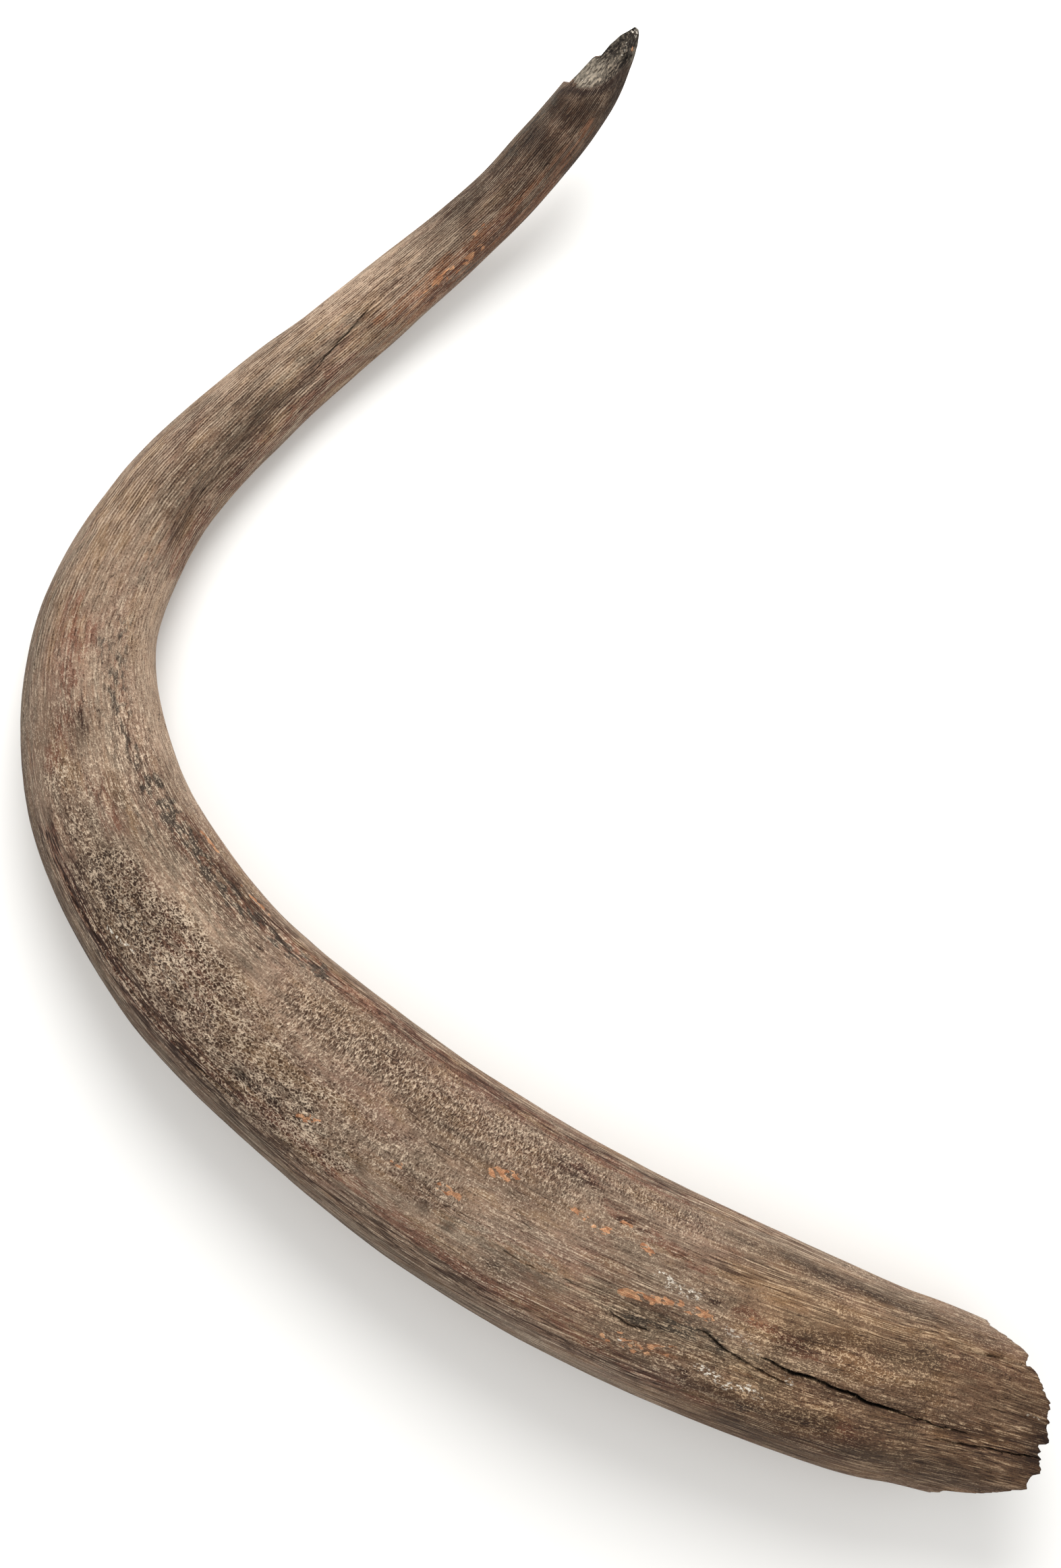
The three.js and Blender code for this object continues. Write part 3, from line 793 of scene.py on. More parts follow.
# %% Masks of dirt and painted shade
MASKS |= {
    # painted shade: a thin neutral dark wash in patches on the body
    "dusk": [
        ([[84, 142], [110, 132], [128, 122]], 20, 0.75),
        ([[108, 60], [160, 63], [212, 72]], 10, 0.6),
        ([[110, 94], [160, 95], [212, 96]], 7, 0.4),
        ([[160, 114], [214, 114]], 7, 0.45),
        ([[100, 25], [270, 29]], 12, 0.6),
        ([[250, 72], [310, 70], [370, 68]], 12, 0.5),
        ([[256, 88], [312, 95]], 9, 0.45),
        ([[300, 122], [325, 117]], 10, 0.45),
        ([[375, 109], [412, 106]], 9, 0.5),
        ([[655, 100], [665, 104]], 14, 0.45),
        ([[695, 66], [712, 66]], 12, 0.4),
        ([[755, 98], [825, 101]], 17, 0.6),
        ([[750, 30], [810, 32], [870, 28]], 10, 0.5),
        ([[800, 64], [825, 80]], 16, 0.42),
        # painted shade along the lower outer flank
        ([[400, 176], [500, 176], [760, 174], [900, 170]], 18, 0.85),
        ([[40, 172], [300, 170]], 18, 0.5),
        ([[1100, 46], [1190, 54]], 10, 0.32),
        ([[1290, 42], [1330, 46]], 9, 0.3),
        ([[904, 84], [914, 116]], 15, 0.42),
        ([[700, 88], [714, 108]], 13, 0.42),
        ([[500, 84], [514, 118]], 13, 0.32),
        ([[750, 125], [825, 121]], 9, 0.42),
        ([[610, 100], [700, 102]], 18, 0.32),
        ([[600, 134], [700, 134]], 16, 0.26),
        ([[400, 58], [520, 62]], 20, 0.2),
        ([[960, 40], [1100, 44]], 12, 0.14),
        ([[1392, 108], [1424, 116]], 16, 0.35),
    ],
    # painted shadow: the dark line under the overhang where the skin ends at the break
    "edge": [
        ([[1536, 150], [1543, 128], [1548, 106], [1550, 93], [1556, 78], [1563, 65],
          [1571, 52], [1580, 40]], 2.6, 1.0),
    ],
    # grime: dirt, and painted shade on the flanks that face away from the lamp
    "grime": [
        # painted shadow along the foot of the break's edge
        ([[1538, 140], [1545, 122], [1548, 104], [1550, 86], [1557, 72], [1568, 58]], 3.5, 1.0),
        ([[1545, 68], [1560, 60], [1580, 52]], 5, 1.0),
        ([[110, 116], [110, 145]], 16, 0.5),
        ([[855, 76], [865, 76]], 9, 0.6),
        ([[100, 85], [170, 86]], 10, 0.6),
        ([[160, 95], [220, 95]], 8, 0.35),
        ([[110, 60], [170, 60]], 12, 0.5),
        ([[200, 72], [220, 74]], 8, 0.4),
        ([[4, 72], [14, 98]], 18, 0.6),
        ([[60, 95], [65, 125]], 14, 0.35),
        ([[60, 146], [120, 146]], 12, 0.5),
        ([[250, 114], [320, 124]], 12, 0.5),
        ([[300, 92], [320, 96]], 10, 0.35),
        ([[555, 40], [620, 42]], 16, 0.5),
        ([[655, 98], [665, 106]], 12, 0.6),
        ([[700, 50], [770, 50]], 13, 0.55),
        ([[755, 86], [815, 100]], 14, 0.5),
        ([[1400, 38], [1470, 38]], 14, 0.5),
        ([[1455, 126], [1515, 122]], 14, 0.9),
        ([[1555, 42], [1570, 48]], 12, 1.0),
        ([[860, 45], [860, 55]], 8, 0.4),
        ([[700, 22], [800, 30]], 12, 0.3),
        ([[700, 68], [715, 76]], 10, 0.5),
        ([[655, 104], [665, 116]], 10, 0.5),
        ([[400, 154], [470, 154]], 10, 0.5),
        # painted shade along the lower outer flank
        ([[500, 174], [760, 172], [1000, 168]], 20, 0.8),
        ([[60, 170], [500, 172]], 14, 0.35),
        ([[1210, 146], [1262, 140]], 9, 0.6),
        ([[1258, 104], [1262, 130]], 12, 0.4),
        ([[1440, 60], [1490, 70], [1510, 120]], 24, 0.55),
        ([[-8, 62], [8, 74], [8, 84]], 20, 0.95),
        ([[0, 95], [60, 94], [110, 94], [170, 97]], 8, 0.85),
        ([[50, 130], [110, 134]], 20, 0.55),
        ([[140, 130], [215, 140]], 23, 1.0),
        ([[160, 118], [190, 122], [262, 126]], 10, 0.95),
        ([[160, 150], [220, 152]], 14, 0.7),
        ([[60, 31], [110, 29], [160, 29], [220, 30]], 10, 0.6),
        ([[100, 64], [120, 65], [165, 68], [190, 74], [215, 83]], 9, 0.8),
        ([[110, 55], [170, 52], [210, 44], [270, 38], [300, 28], [415, 44]], 15, 0.35),
        ([[410, 66], [460, 70], [515, 65], [560, 52], [610, 62], [660, 58]], 17, 0.48),
        ([[402, 115], [418, 115]], 9, 0.5),
        ([[205, 105], [215, 106]], 8, 0.3),
        ([[755, 106], [812, 110]], 13, 0.7),
        ([[800, 50], [815, 52]], 10, 0.45),
        ([[1140, 42], [1175, 46]], 10, 0.7),
        ([[1095, 76], [1110, 86], [1160, 84], [1210, 86]], 13, 0.8),
        ([[1100, 44], [1115, 60]], 12, 0.35),
        ([[1150, 60], [1215, 62]], 9, 0.5),
        ([[1310, 46], [1310, 70]], 10, 0.4),
        ([[1365, 48], [1410, 48]], 9, 0.65),
        ([[1410, 138], [1460, 136], [1510, 126]], 12, 1.0),
        ([[1455, 56], [1465, 60]], 14, 0.6),
        ([[1455, 105], [1510, 105]], 12, 0.4),
    ],
}
print("with dirt:", sum(len(strokes) for strokes in MASKS.values()))

# %% [markdown]
# ### Pale and grey patches
# Bleached marks what light and weather have paled. Sand is pale silt that dried on the skin, and
# also painted light on the edges that face the lamp. Grey is silt too, and slate is the dark grey
# layer that shows where the outer one has flaked away.

# %% Masks of bleaching, silt and painted light
MASKS |= {
    "bleached": [
        ([[900, 34], [960, 48], [1030, 56]], 22, 0.35),
        ([[1020, 60], [1180, 100], [1310, 96]], 36, 0.46),
        ([[1200, 122], [1260, 84], [1320, 86]], 22, 0.72),
        ([[360, 134], [368, 134]], 10, 0.4),
        ([[500, 140], [515, 145]], 12, 0.6),
        ([[500, 24], [680, 24]], 9, 0.45),
        ([[800, 140], [815, 146]], 10, 0.7),
        ([[1350, 50], [1375, 66]], 12, 0.45),
        ([[1502, 66], [1514, 80]], 8, 0.9),
        ([[960, 84], [1010, 92], [1060, 98], [1110, 108], [1165, 118]], 16, 0.3),
        ([[550, 126], [570, 128]], 10, 0.8),
        ([[500, 124], [620, 121], [660, 126]], 9, 0.35),
        ([[655, 94], [665, 96]], 12, 0.5),
        ([[800, 150], [860, 138]], 12, 0.4),
        ([[1255, 74], [1262, 76]], 10, 0.5),
        ([[1405, 86], [1415, 92]], 9, 0.4),
        ([[740, 64], [765, 62], [862, 66]], 11, 0.35),
        ([[355, 94], [365, 104]], 9, 0.35),
    ],
    "sand": [
        # sand: pale silt, and painted light that makes the bend's inner edge and the arm's outer edge
        # paler
        ([[840, 12], [900, 16], [1000, 18], [1040, 20]], 26, 0.7),
        ([[1200, 152], [1290, 142], [1345, 140]], 13, 0.9),
        ([[560, 52], [640, 58], [780, 60]], 26, 0.35),
        ([[290, 40], [420, 48], [560, 52]], 24, 0.2),
        ([[880, 66], [960, 70]], 26, 0.5),
        ([[1340, 90], [1380, 100]], 22, 0.35),
    ],
    "grey": [
        ([[210, 104], [260, 104], [312, 100], [345, 98]], 15, 0.9),
        ([[460, 108], [420, 104], [370, 102]], 13, 0.8),
        ([[540, 112], [640, 112]], 16, 0.5),
        ([[700, 60], [788, 62], [850, 66]], 20, 0.65),
        ([[300, 160], [560, 156], [800, 160], [1040, 156]], 26, 0.8),
        ([[880, 66], [960, 76]], 16, 0.6),
        ([[1040, 60], [1180, 76], [1300, 90]], 16, 0.6),
    ],
    "slate": [
        ([[1000, 62], [960, 60], [900, 54], [859, 46]], 13, 0.6),
        ([[859, 47], [838, 42], [815, 40], [785, 40]], 13, 0.95),
        ([[785, 40], [737, 36], [696, 31], [650, 26]], 12, 0.85),
        ([[668, 27], [636, 26]], 6, 0.7),
        ([[980, 76], [947, 66], [920, 60]], 9, 0.6),
        ([[1578, 40], [1583, 56]], 3, 1.0),
        ([[318, 102], [296, 98], [275, 95], [256, 97]], 10, 0.8),
        ([[1129, 64], [1107, 54], [1077, 52]], 4, 0.4),
        ([[1480, 134], [1530, 150]], 12, 0.7),
    ],
}
print("with pale patches:", sum(len(strokes) for strokes in MASKS.values()))

# %% [markdown]
# ### Chips, specks and spots
# Ochre marks scraps of the old orange surface, chalk marks ivory that crumbles to white, and stain
# marks small dark spots. One stain stroke is painted shadow along the foot of the break's edge.

# %% Masks of chips, specks and spots
MASKS |= {
    "ochre": [
        ([[332, 92], [324, 90], [307, 88], [297, 84], [284, 84], [268, 84]], 4, 1.0),
        ([[367, 68], [357, 66]], 4, 0.9),
        ([[353, 58], [345, 58]], 3, 0.8),
        ([[332, 64], [324, 66]], 3, 0.8),
        ([[453, 69], [437, 66]], 5, 1.0),
        ([[482, 92], [466, 92]], 4, 0.8),
        ([[525, 97], [514, 95]], 4, 0.8),
        ([[389, 64], [376, 66]], 3, 0.8),
        ([[593, 110], [583, 104]], 4, 1.0),
        ([[330, 120], [318, 116], [307, 118], [282, 112]], 8, 0.6),
        ([[1400, 68], [1427, 72]], 4, 0.5),
        ([[1352, 52], [1366, 50]], 4, 0.6),
        ([[1370, 46], [1392, 44], [1410, 38]], 7, 0.66),
        ([[804, 26], [784, 24]], 5, 0.6),
        ([[752, 24], [715, 20]], 4, 0.5),
        ([[246, 76], [238, 76]], 3, 0.5),
        ([[1592, 48], [1594, 48]], 2, 1.0),
    ],
    "chalk": [
        ([[315, 74], [306, 75]], 4, 0.9),
        ([[303, 78], [284, 76]], 6, 0.6),
        ([[262, 114], [244, 117]], 4, 0.7),
        ([[240, 119], [223, 114], [212, 118]], 4, 0.7),
        ([[256, 86], [228, 92]], 5, 0.5),
        ([[203, 100], [198, 102]], 4, 0.6),
        ([[758, 117], [768, 121], [780, 124]], 1.8, 0.8),
        ([[800, 106], [740, 104], [690, 100]], 30, 0.35),
        ([[320, 116], [316, 117]], 3, 0.7),
        ([[22, 74], [10, 72]], 3, 0.5),
        ([[1603, 74], [1608, 80]], 4, 1.0),
        ([[1585, 76], [1593, 88]], 1.6, 0.7),
        ([[1552, 134], [1556, 112], [1559, 100]], 1.4, 0.5),
    ],
    "stain": [
        ([[922, 92], [912, 92]], 8, 0.6),
        ([[274, 120], [268, 122]], 5, 1.0),
        ([[226, 126], [220, 127]], 5, 1.0),
        ([[276, 74], [270, 75]], 4, 0.9),
        ([[190, 42], [184, 43]], 5, 0.7),
        ([[80, 54], [74, 55]], 5, 0.7),
        ([[704, 48], [698, 48]], 4, 0.7),
        # painted shadow along the foot of the break's edge
        ([[1545, 134], [1549, 120], [1551, 100], [1557, 80], [1562, 68], [1570, 50]], 5, 1.0),
        ([[1599, 84], [1602, 84]], 4, 0.8),
        ([[335, 56], [353, 56]], 6, 0.8),
        ([[590, 106], [600, 112], [640, 118]], 8, 0.7),
        ([[50, 90], [0, 90]], 60, 0.3),
    ],
}
print("with chips and specks:", sum(len(strokes) for strokes in MASKS.values()))


# %% Store them on the mesh
def keep(name, inner, fine, coarse, kind="FLOAT"):
    """Stores numbers on the mesh's points under a name that the material can read."""
    width = 3 if kind == "FLOAT_VECTOR" else 1
    parts = [np.reshape(part, (-1, width)) for part in (inner, fine, coarse)]
    ends = [parts[0][:1], parts[2][-1:]]
    values = np.concatenate(parts + ends).astype(np.float32)
    field = "vector" if kind == "FLOAT_VECTOR" else "value"
    mesh.attributes.new(name, kind, "POINT").data.foreach_set(field, values.ravel())


fine_straight, coarse_straight = fine_facts["straight"], coarse_facts["straight"]
keep("straight", inner_straight * MM, fine_straight * MM, coarse_straight * MM, "FLOAT_VECTOR")
nothing = np.zeros(inner_around.shape)
fine_along, fine_half = fine_straight[..., 0], section(fine_straight[..., 0])[3]
coarse_half = np.maximum(section(coarse_along)[3], LEAST_HALF_WIDTH)
for name, patches in MASKS.items():
    fine = painted(patches, fine_along, fine_around, fine_half)
    keep(name, nothing, fine, painted(patches, coarse_along, coarse_around, coarse_half))
for name in ("crack", "break"):
    keep(name, nothing, fine_facts[name], coarse_facts[name])
print("stored:", sorted(MASKS), "and straight, crack, break")

# %% [markdown]
# ## Weathered fossil ivory
# The finish is dentine that has dried, split and taken up minerals. Ivory itself bends light like a
# hard resin (IOR 1.54), but its polish is long gone, so it is rough and shows almost no highlight.
# It isn't a metal, and nothing is coated. Dirt and painted shade sit in the low places, and the
# ridges are rubbed pale and carry a painted highlight, so one height drives the bump, the roughness
# and the colour.

# %% Colour values and the node helper
def linear(hex_colour):
    """An sRGB hex colour as linear red, green, blue and 1."""
    parts = [int(hex_colour[i:i + 2], 16) / 255 for i in (0, 2, 4)]
    return (*[c / 12.92 if c <= 0.04045 else ((c + 0.055) / 1.055) ** 2.4 for c in parts], 1.0)


material = bpy.data.materials.new("weathered_fossil_ivory")
material.use_nodes = True
tree = material.node_tree
tree.nodes.clear()
# A Mix node's sockets: the factor, two numbers, two colours, and the mixed colour that comes out.
FACTOR, NUMBER_A, NUMBER_B, COLOUR_A, COLOUR_B, MIXED = 0, 2, 3, 6, 7, 2


def node(kind, inputs, out=0, **settings):
    """Adds a shader node with its settings, links or fills its inputs, and returns one output."""
    made = tree.nodes.new("ShaderNode" + kind)
    for name, value in settings.items():
        setattr(made, name, value)
    for name, value in inputs.items():
        if isinstance(value, bpy.types.NodeSocket):
            tree.links.new(value, made.inputs[name])
        else:
            made.inputs[name].default_value = value
    return made.outputs[out]


def waves(lengthwise, crosswise):
    """Waves for each metre, from sizes in millimetres along and across the grain."""
    return (1 / (lengthwise * MM), 1 / (crosswise * MM), 1 / (crosswise * MM))


mask = {
    name: node("Attribute", {}, "Fac", attribute_name=name)
    for name in (*MASKS, "crack", "break")
}
straight = node("Attribute", {}, "Vector", attribute_name="straight")
print("masks that the material reads:", len(mask))


# %% Wandering places
def sized(place, lengthwise, crosswise):
    """A place counted in waves of a real size instead of in metres."""
    return node("VectorMath", {0: place, 1: waves(lengthwise, crosswise)}, operation="MULTIPLY")


def jostled(place, lengthwise, crosswise, reach):
    """Pushes each place about by noise, up to a reach in millimetres, so no line stays straight."""
    push = node("TexNoise", {"Vector": sized(place, lengthwise, crosswise), "Scale": 1.0}, "Color")
    push = node("VectorMath", {0: push, 1: (0.5, 0.5, 0.5)}, operation="SUBTRACT")
    push = node("VectorMath", {0: push, 1: (2 * reach * MM,) * 3}, operation="MULTIPLY")
    return node("VectorMath", {0: place, 1: push}, operation="ADD")


wavy = jostled(straight, 60, 22, 1.6)
crumpled = jostled(wavy, 2.6, 2.2, 0.8)
print("one wave each 60 mm is", waves(60, 22)[0], "waves for each metre")


# %% [markdown]
# ## The reliefs of the skin
# Every pattern below is given the length and width of its waves in millimetres, first along and then
# across the grain. Most noise lies between 0.3 and 0.7, so spread() takes the two values that become
# 0 and 1. Real grains of grit are under half a millimetre. They are drawn 1.3 mm long here, so that
# they show.

# %% Patterns and ways to shape them
def pattern(lengthwise, crosswise, detail, place=None):
    """Noise with waves of a real size, along and across the grain, in millimetres."""
    at = sized(place or wavy, lengthwise, crosswise)
    return node("TexNoise", {"Vector": at, "Scale": 1.0, "Detail": detail, "Roughness": 0.6})


def spread(value, low, high, to_low=0.0, to_high=1.0):
    """Stretches the middle of a value over its whole range, with soft ends."""
    limits = {"Value": value, "From Min": low, "From Max": high, "To Min": to_low, "To Max": to_high}
    return node("MapRange", limits, interpolation_type="SMOOTHSTEP")


def crests(noise, width):
    """Winding lines, 1 where the noise is at its middle value and 0 away from it."""
    off = node("Math", {0: noise, 1: 0.5}, operation="SUBTRACT")
    off = node("Math", {0: off}, operation="ABSOLUTE")
    return spread(off, 0.0, width, 1.0, 0.0)


def blend_of(factor, first, second):
    """A number between two others."""
    return node("Mix", {FACTOR: factor, NUMBER_A: first, NUMBER_B: second}, data_type="FLOAT")


def product(first, second):
    """One number times another."""
    return node("Math", {0: first, 1: second}, operation="MULTIPLY")


def larger(first, second):
    """The larger of two numbers."""
    return node("Math", {0: first, 1: second}, operation="MAXIMUM")


print("nodes so far:", len(tree.nodes))

# %% [markdown]
# ### Fibres and combed lines
# The body shows fine fibres along the grain. The arm has weathered like driftwood into parallel
# lines that run its whole length. They are a sine of the angle round the arm, because noise alone
# breaks up into dashes, and slow noise pushes the lines sideways, so that none of them is straight.

# %% Fibres and combed lines
ARM_FROM, ARM_FULL = 0.84, 1.0  # metres along
COMBED_LINES = 104.0  # waves in a full turn round the arm
COMBED_WANDER, COMBED_JITTER = 9.0, 4.5  # radians of the sine's phase
CRINKLED_SHARE, BAND_SHARE = 0.48, 0.22

grit = spread(pattern(1.3, 1.1, 2.0), 0.3, 0.7)
bands = spread(pattern(80, 3.2, 3.0), 0.32, 0.68)
axis = {name: node("SeparateXYZ", {0: straight}, name) for name in "XYZ"}
on_arm = spread(axis["X"], ARM_FROM, ARM_FULL)
girth = node("Math", {0: axis["Z"], 1: axis["Y"]}, operation="ARCTAN2")
wander = product(pattern(30, 10, 3.0), COMBED_WANDER)
jitter = product(pattern(8, 3, 2.0), COMBED_JITTER)
wander = node("Math", {0: wander, 1: jitter}, operation="ADD")
phase = node("Math", {0: girth, 1: COMBED_LINES, 2: wander}, operation="MULTIPLY_ADD")
fibres = spread(pattern(48, 1.05, 2.0), 0.32, 0.68)
combings = spread(node("Math", {0: phase}, operation="SINE"), -1.0, 0.8)
crinkles = spread(pattern(20, 1.3, 2.0, crumpled), 0.34, 0.66)
crinkles = spread(blend_of(CRINKLED_SHARE, crinkles, combings), 0.1, 0.9)
ribs = blend_of(BAND_SHARE, blend_of(on_arm, fibres, crinkles), bands)
print("nodes so far:", len(tree.nodes))

# %% [markdown]
# ### Wrinkles, threads, scales and splinters
# Inside the bend the skin has shrunk into short wrinkles across the grain. Winding threads run over
# the body like worm casts, thin scales lift along the inner bend, and the break is splintered.

# %% Wrinkles, threads, scales and splinters
wrinkles = spread(pattern(1.2, 3.4, 2.0, crumpled), 0.36, 0.64)
wrinkles = blend_of(0.66, wrinkles, crests(pattern(2.2, 5.4, 1.0, crumpled), 0.12))
threads = crests(pattern(3.4, 2.5, 1.0, crumpled), 0.11)
threads = blend_of(0.45, threads, spread(pattern(6, 1.3, 2.0, crumpled), 0.34, 0.66))
threads = spread(blend_of(0.2, threads, bands), 0.08, 0.85, 0.24, 0.86)


def cells_of(lengthwise, crosswise, uneven):
    """Cells of a real size, 0 at their edges, whose walls some noise makes thick or breaks open."""
    at = {"Vector": sized(crumpled, lengthwise, crosswise), "Scale": 1.0}
    edges = node("TexVoronoi", at, feature="DISTANCE_TO_EDGE")
    return node("Math", {0: edges, 1: uneven}, operation="ADD")


scales = cells_of(13, 3.2, spread(pattern(8, 4, 2.0), 0.35, 0.65, -0.06, 0.2))
flakes = spread(blend_of(0.45, threads, fibres), 0.22, 0.78, 0.15, 0.95)
flakes = product(spread(scales, 0.0, 0.14, 0.2, 1.0), flakes)
splinters = spread(pattern(5, 1.4, 4.0, crumpled), 0.36, 0.56, 0.12, 0.72)
unevenness = pattern(50, 17, 2.0)
print("nodes so far:", len(tree.nodes))

# %% [markdown]
# ### The crazed net
# On the bend the outer layer has crazed into a net of low walls round small pits, filled with silt
# here and there. The net is the walls between Voronoi cells, with winding ridges laid over it, since
# cells alone look like a honeycomb.

# %% The crazed net
RIDGE_WIDTH, RIDGE_HEIGHT = 0.085, 1.15

cells = cells_of(3.8, 3.0, spread(pattern(1.5, 1.3, 2.0), 0.3, 0.7, -0.12, 0.16))
filled = spread(pattern(7, 4, 3.0), 0.45, 0.68, 0.0, 0.8)
noodles = crests(pattern(7, 4.6, 2.0, crumpled), RIDGE_WIDTH)
noodles = product(noodles, spread(pattern(16, 9, 2.0), 0.3, 0.55))
crazing = blend_of(filled, spread(cells, 0.0, 0.26, 0.85, 0.0), blend_of(0.5, 0.55, grit))
crazing = larger(crazing, product(noodles, RIDGE_HEIGHT))
print("nodes so far:", len(tree.nodes))

# %% [markdown]
# ### Which relief shows where
# The reliefs are mixed one over another by the masks. Silt calms them, grit covers them all, and
# hairline checks and furrows are cut last.

# %% One height
COMBED_CALM, SILT_CALM, GRIT_SHARE = 0.06, 0.25, 0.2

winding = larger(spread(unevenness, 0.4, 0.6, 0.1, 0.85), mask["wormy"])
uncombed = node("Math", {0: 1.0, 1: mask["combed"]}, operation="SUBTRACT")
height = blend_of(product(winding, uncombed), ribs, threads)
calm = larger(product(mask["combed"], COMBED_CALM), product(mask["grey"], SILT_CALM))
height = blend_of(calm, height, 0.5)
netted = spread(mask["network"], 0.1, 0.65)
height = blend_of(mask["flaky"], height, flakes)
height = blend_of(netted, height, crazing)
height = blend_of(mask["crosswise"], height, wrinkles)
height = blend_of(mask["break"], height, splinters)
height = blend_of(GRIT_SHARE, height, grit)
checks = product(crests(pattern(70, 7, 2.0), 0.014), spread(unevenness, 0.52, 0.64, 0.0, 0.6))
grooves = product(crests(pattern(60, 4.2, 2.0), 0.07), mask["furrowed"])
grooves = larger(grooves, checks)
height = blend_of(grooves, height, 0.0)
print("nodes so far:", len(tree.nodes))

# %% [markdown]
# ### Colour
# Clean old ivory is tan. Here it is brown, with warm and honey patches, and each kind of weathering
# is laid over it through its mask, most of them broken up by noise. Some masks are painted light and
# shade as well. Then the low places are darkened with dirt and painted shade, the ridge tops are
# rubbed back to tan with a painted highlight, and two thin washes go over that: a warm tea tint and
# a wash of painted shade. Grooves, chips, chalky specks and painted shade in the cracks come
# last.

# %% Colours of ivory, rust, silt and stain
# Shades are multiplied, the other colours are laid over.
BROWN, WARM, TAN = linear("9a7f69"), linear("875f50"), linear("d6c0a6")
RUST, GREY, SLATE, UMBER_AND_SHADE = linear("7d503d"), linear("8f7f6c"), linear("534b41"), linear("4c3524")
SAND_AND_LIGHT, OCHRE, BUFF, CHALK = linear("ba9e86"), linear("a56c48"), linear("cc9a72"), linear("e2d8c8")
IRON, STAIN_AND_EDGE_SHADOW, GROOVE_AND_SHADOW = linear("9c6440"), linear("462c1e"), linear("2e2019")
HONEY, BROKEN, CRACK_SHADE = linear("a5835c"), linear("898072"), linear("15110d")
DARK_BREAK_AND_SHADOW = linear("2e2823")
PIT_SHADE, GRIME_SHADE = (0.20, 0.145, 0.115, 1.0), (0.42, 0.36, 0.31, 1.0)
TEA_SHADE, SHADE_WASH_TINT = (0.93, 0.82, 0.67, 1.0), (0.48, 0.45, 0.42, 1.0)
BLEACHING = (1.4, 1.42, 1.42, 1.0)
IRON_STRENGTH, NET_GRIME, GROOVE_STRENGTH = 0.65, 0.2, 0.8


def tinted(factor, first, second, kind="MIX"):
    """The second colour laid over the first, or multiplied with it."""
    inputs = {FACTOR: factor, COLOUR_A: first, COLOUR_B: second}
    return node("Mix", inputs, MIXED, data_type="RGBA", blend_type=kind)


def patchy(name, noise, strength=1.0, least=0.35):
    """A painted mask broken up into flecks by a pattern, and denser for a larger least value."""
    uneven = node("Math", {0: spread(noise, 0.36, 0.64), 1: least}, operation="ADD")
    return spread(product(uneven, mask[name]), 0.3, 0.75, 0.0, strength)


def shaded(factor, below, shade):
    """A colour multiplied by a shade, as far as the factor says."""
    return tinted(factor, below, tinted(1.0, below, shade, "MULTIPLY"))


blotches = pattern(85, 34, 4.0, straight)
silt = pattern(60, 15, 4.0)
flecks = pattern(18, 4, 4.0)
scraps = pattern(13, 5, 5.0)
mottling = pattern(11, 6, 3.0)
streaks = pattern(150, 4.5, 3.0)
colour = tinted(spread(blotches, 0.44, 0.66, 0.0, 0.45), BROWN, WARM)
colour = tinted(spread(silt, 0.46, 0.66, 0.0, 0.5), colour, GREY)
colour = tinted(spread(silt, 0.5, 0.36, 0.0, 0.4), colour, HONEY)
# sand: pale silt, and painted light on the edges that face the lamp
colour = tinted(mask["sand"], colour, SAND_AND_LIGHT)
# umber: dark brown stain, and painted shade on the lower outer flank
colour = tinted(mask["umber"], colour, UMBER_AND_SHADE)
colour = tinted(product(patchy("iron", streaks), IRON_STRENGTH), colour, IRON)
colour = tinted(patchy("rusty", flecks, 0.7), colour, RUST)
colour = tinted(patchy("grey", flecks, 0.6), colour, GREY)
colour = tinted(patchy("slate", scraps, 0.85, 0.2), colour, SLATE)
# stain: small dark spots, and painted shadow along the foot of the break's edge
colour = tinted(patchy("stain", flecks, 0.85), colour, STAIN_AND_EDGE_SHADOW)
# the break: pale first face, a darker far face, and painted shadow in the crevice beside it
colour = tinted(mask["break"], colour, tinted(mask["soot"], BROKEN, DARK_BREAK_AND_SHADOW))
print("nodes so far:", len(tree.nodes))

# %% Dirt and painted shade in the low places, rubbed and lit ridge tops and thin washes
# Grime: dirt, and painted shade on the flanks and at the foot of the break's edge.
grime_and_painted_shade = larger(mask["grime"], product(netted, NET_GRIME))
grime_and_painted_shade = product(grime_and_painted_shade, spread(pattern(30, 9, 3.0), 0.3, 0.6, 0.7, 1.15))
colour = shaded(grime_and_painted_shade, colour, GRIME_SHADE)
colour = shaded(mask["bleached"], colour, BLEACHING)
shade = product(spread(mottling, 0.3, 0.7, 0.69, 0.88), spread(streaks, 0.3, 0.7, 0.88, 1.1))
colour = tinted(1.0, colour, shade, "MULTIPLY")
# Painted shade and dirt darken the low places, and the ridge tops get tan wear and a painted
# highlight.
pits = tinted(1.0, colour, PIT_SHADE, "MULTIPLY")
wear_and_highlight = product(spread(mask["umber"], 0.0, 1.0, 0.8, 0.15), spread(on_arm, 0.0, 1.0, 1.0, 0.6))
worn_and_lit_ridge_tops = tinted(wear_and_highlight, colour, TAN)
colour = tinted(spread(height, 0.08, 0.48), pits, colour)
colour = tinted(spread(height, 0.5, 0.9), colour, worn_and_lit_ridge_tops)
colour = shaded(mask["tea"], colour, TEA_SHADE)
# painted shade: the thin neutral dark wash
colour = shaded(mask["dusk"], colour, SHADE_WASH_TINT)
colour = tinted(product(grooves, GROOVE_STRENGTH), colour, GROOVE_AND_SHADOW)
# painted shadow line under the break's edge, in the same dark colour as the grooves
colour = tinted(product(mask["edge"], spread(scraps, 0.36, 0.56, 0.45, 1.0)), colour, GROOVE_AND_SHADOW)
print("nodes so far:", len(tree.nodes))

# %% Chips of the old surface, chalky specks and painted shade in the cracks
CHIP_GAIN, CHIP_FLOOR = 1.5, 0.35

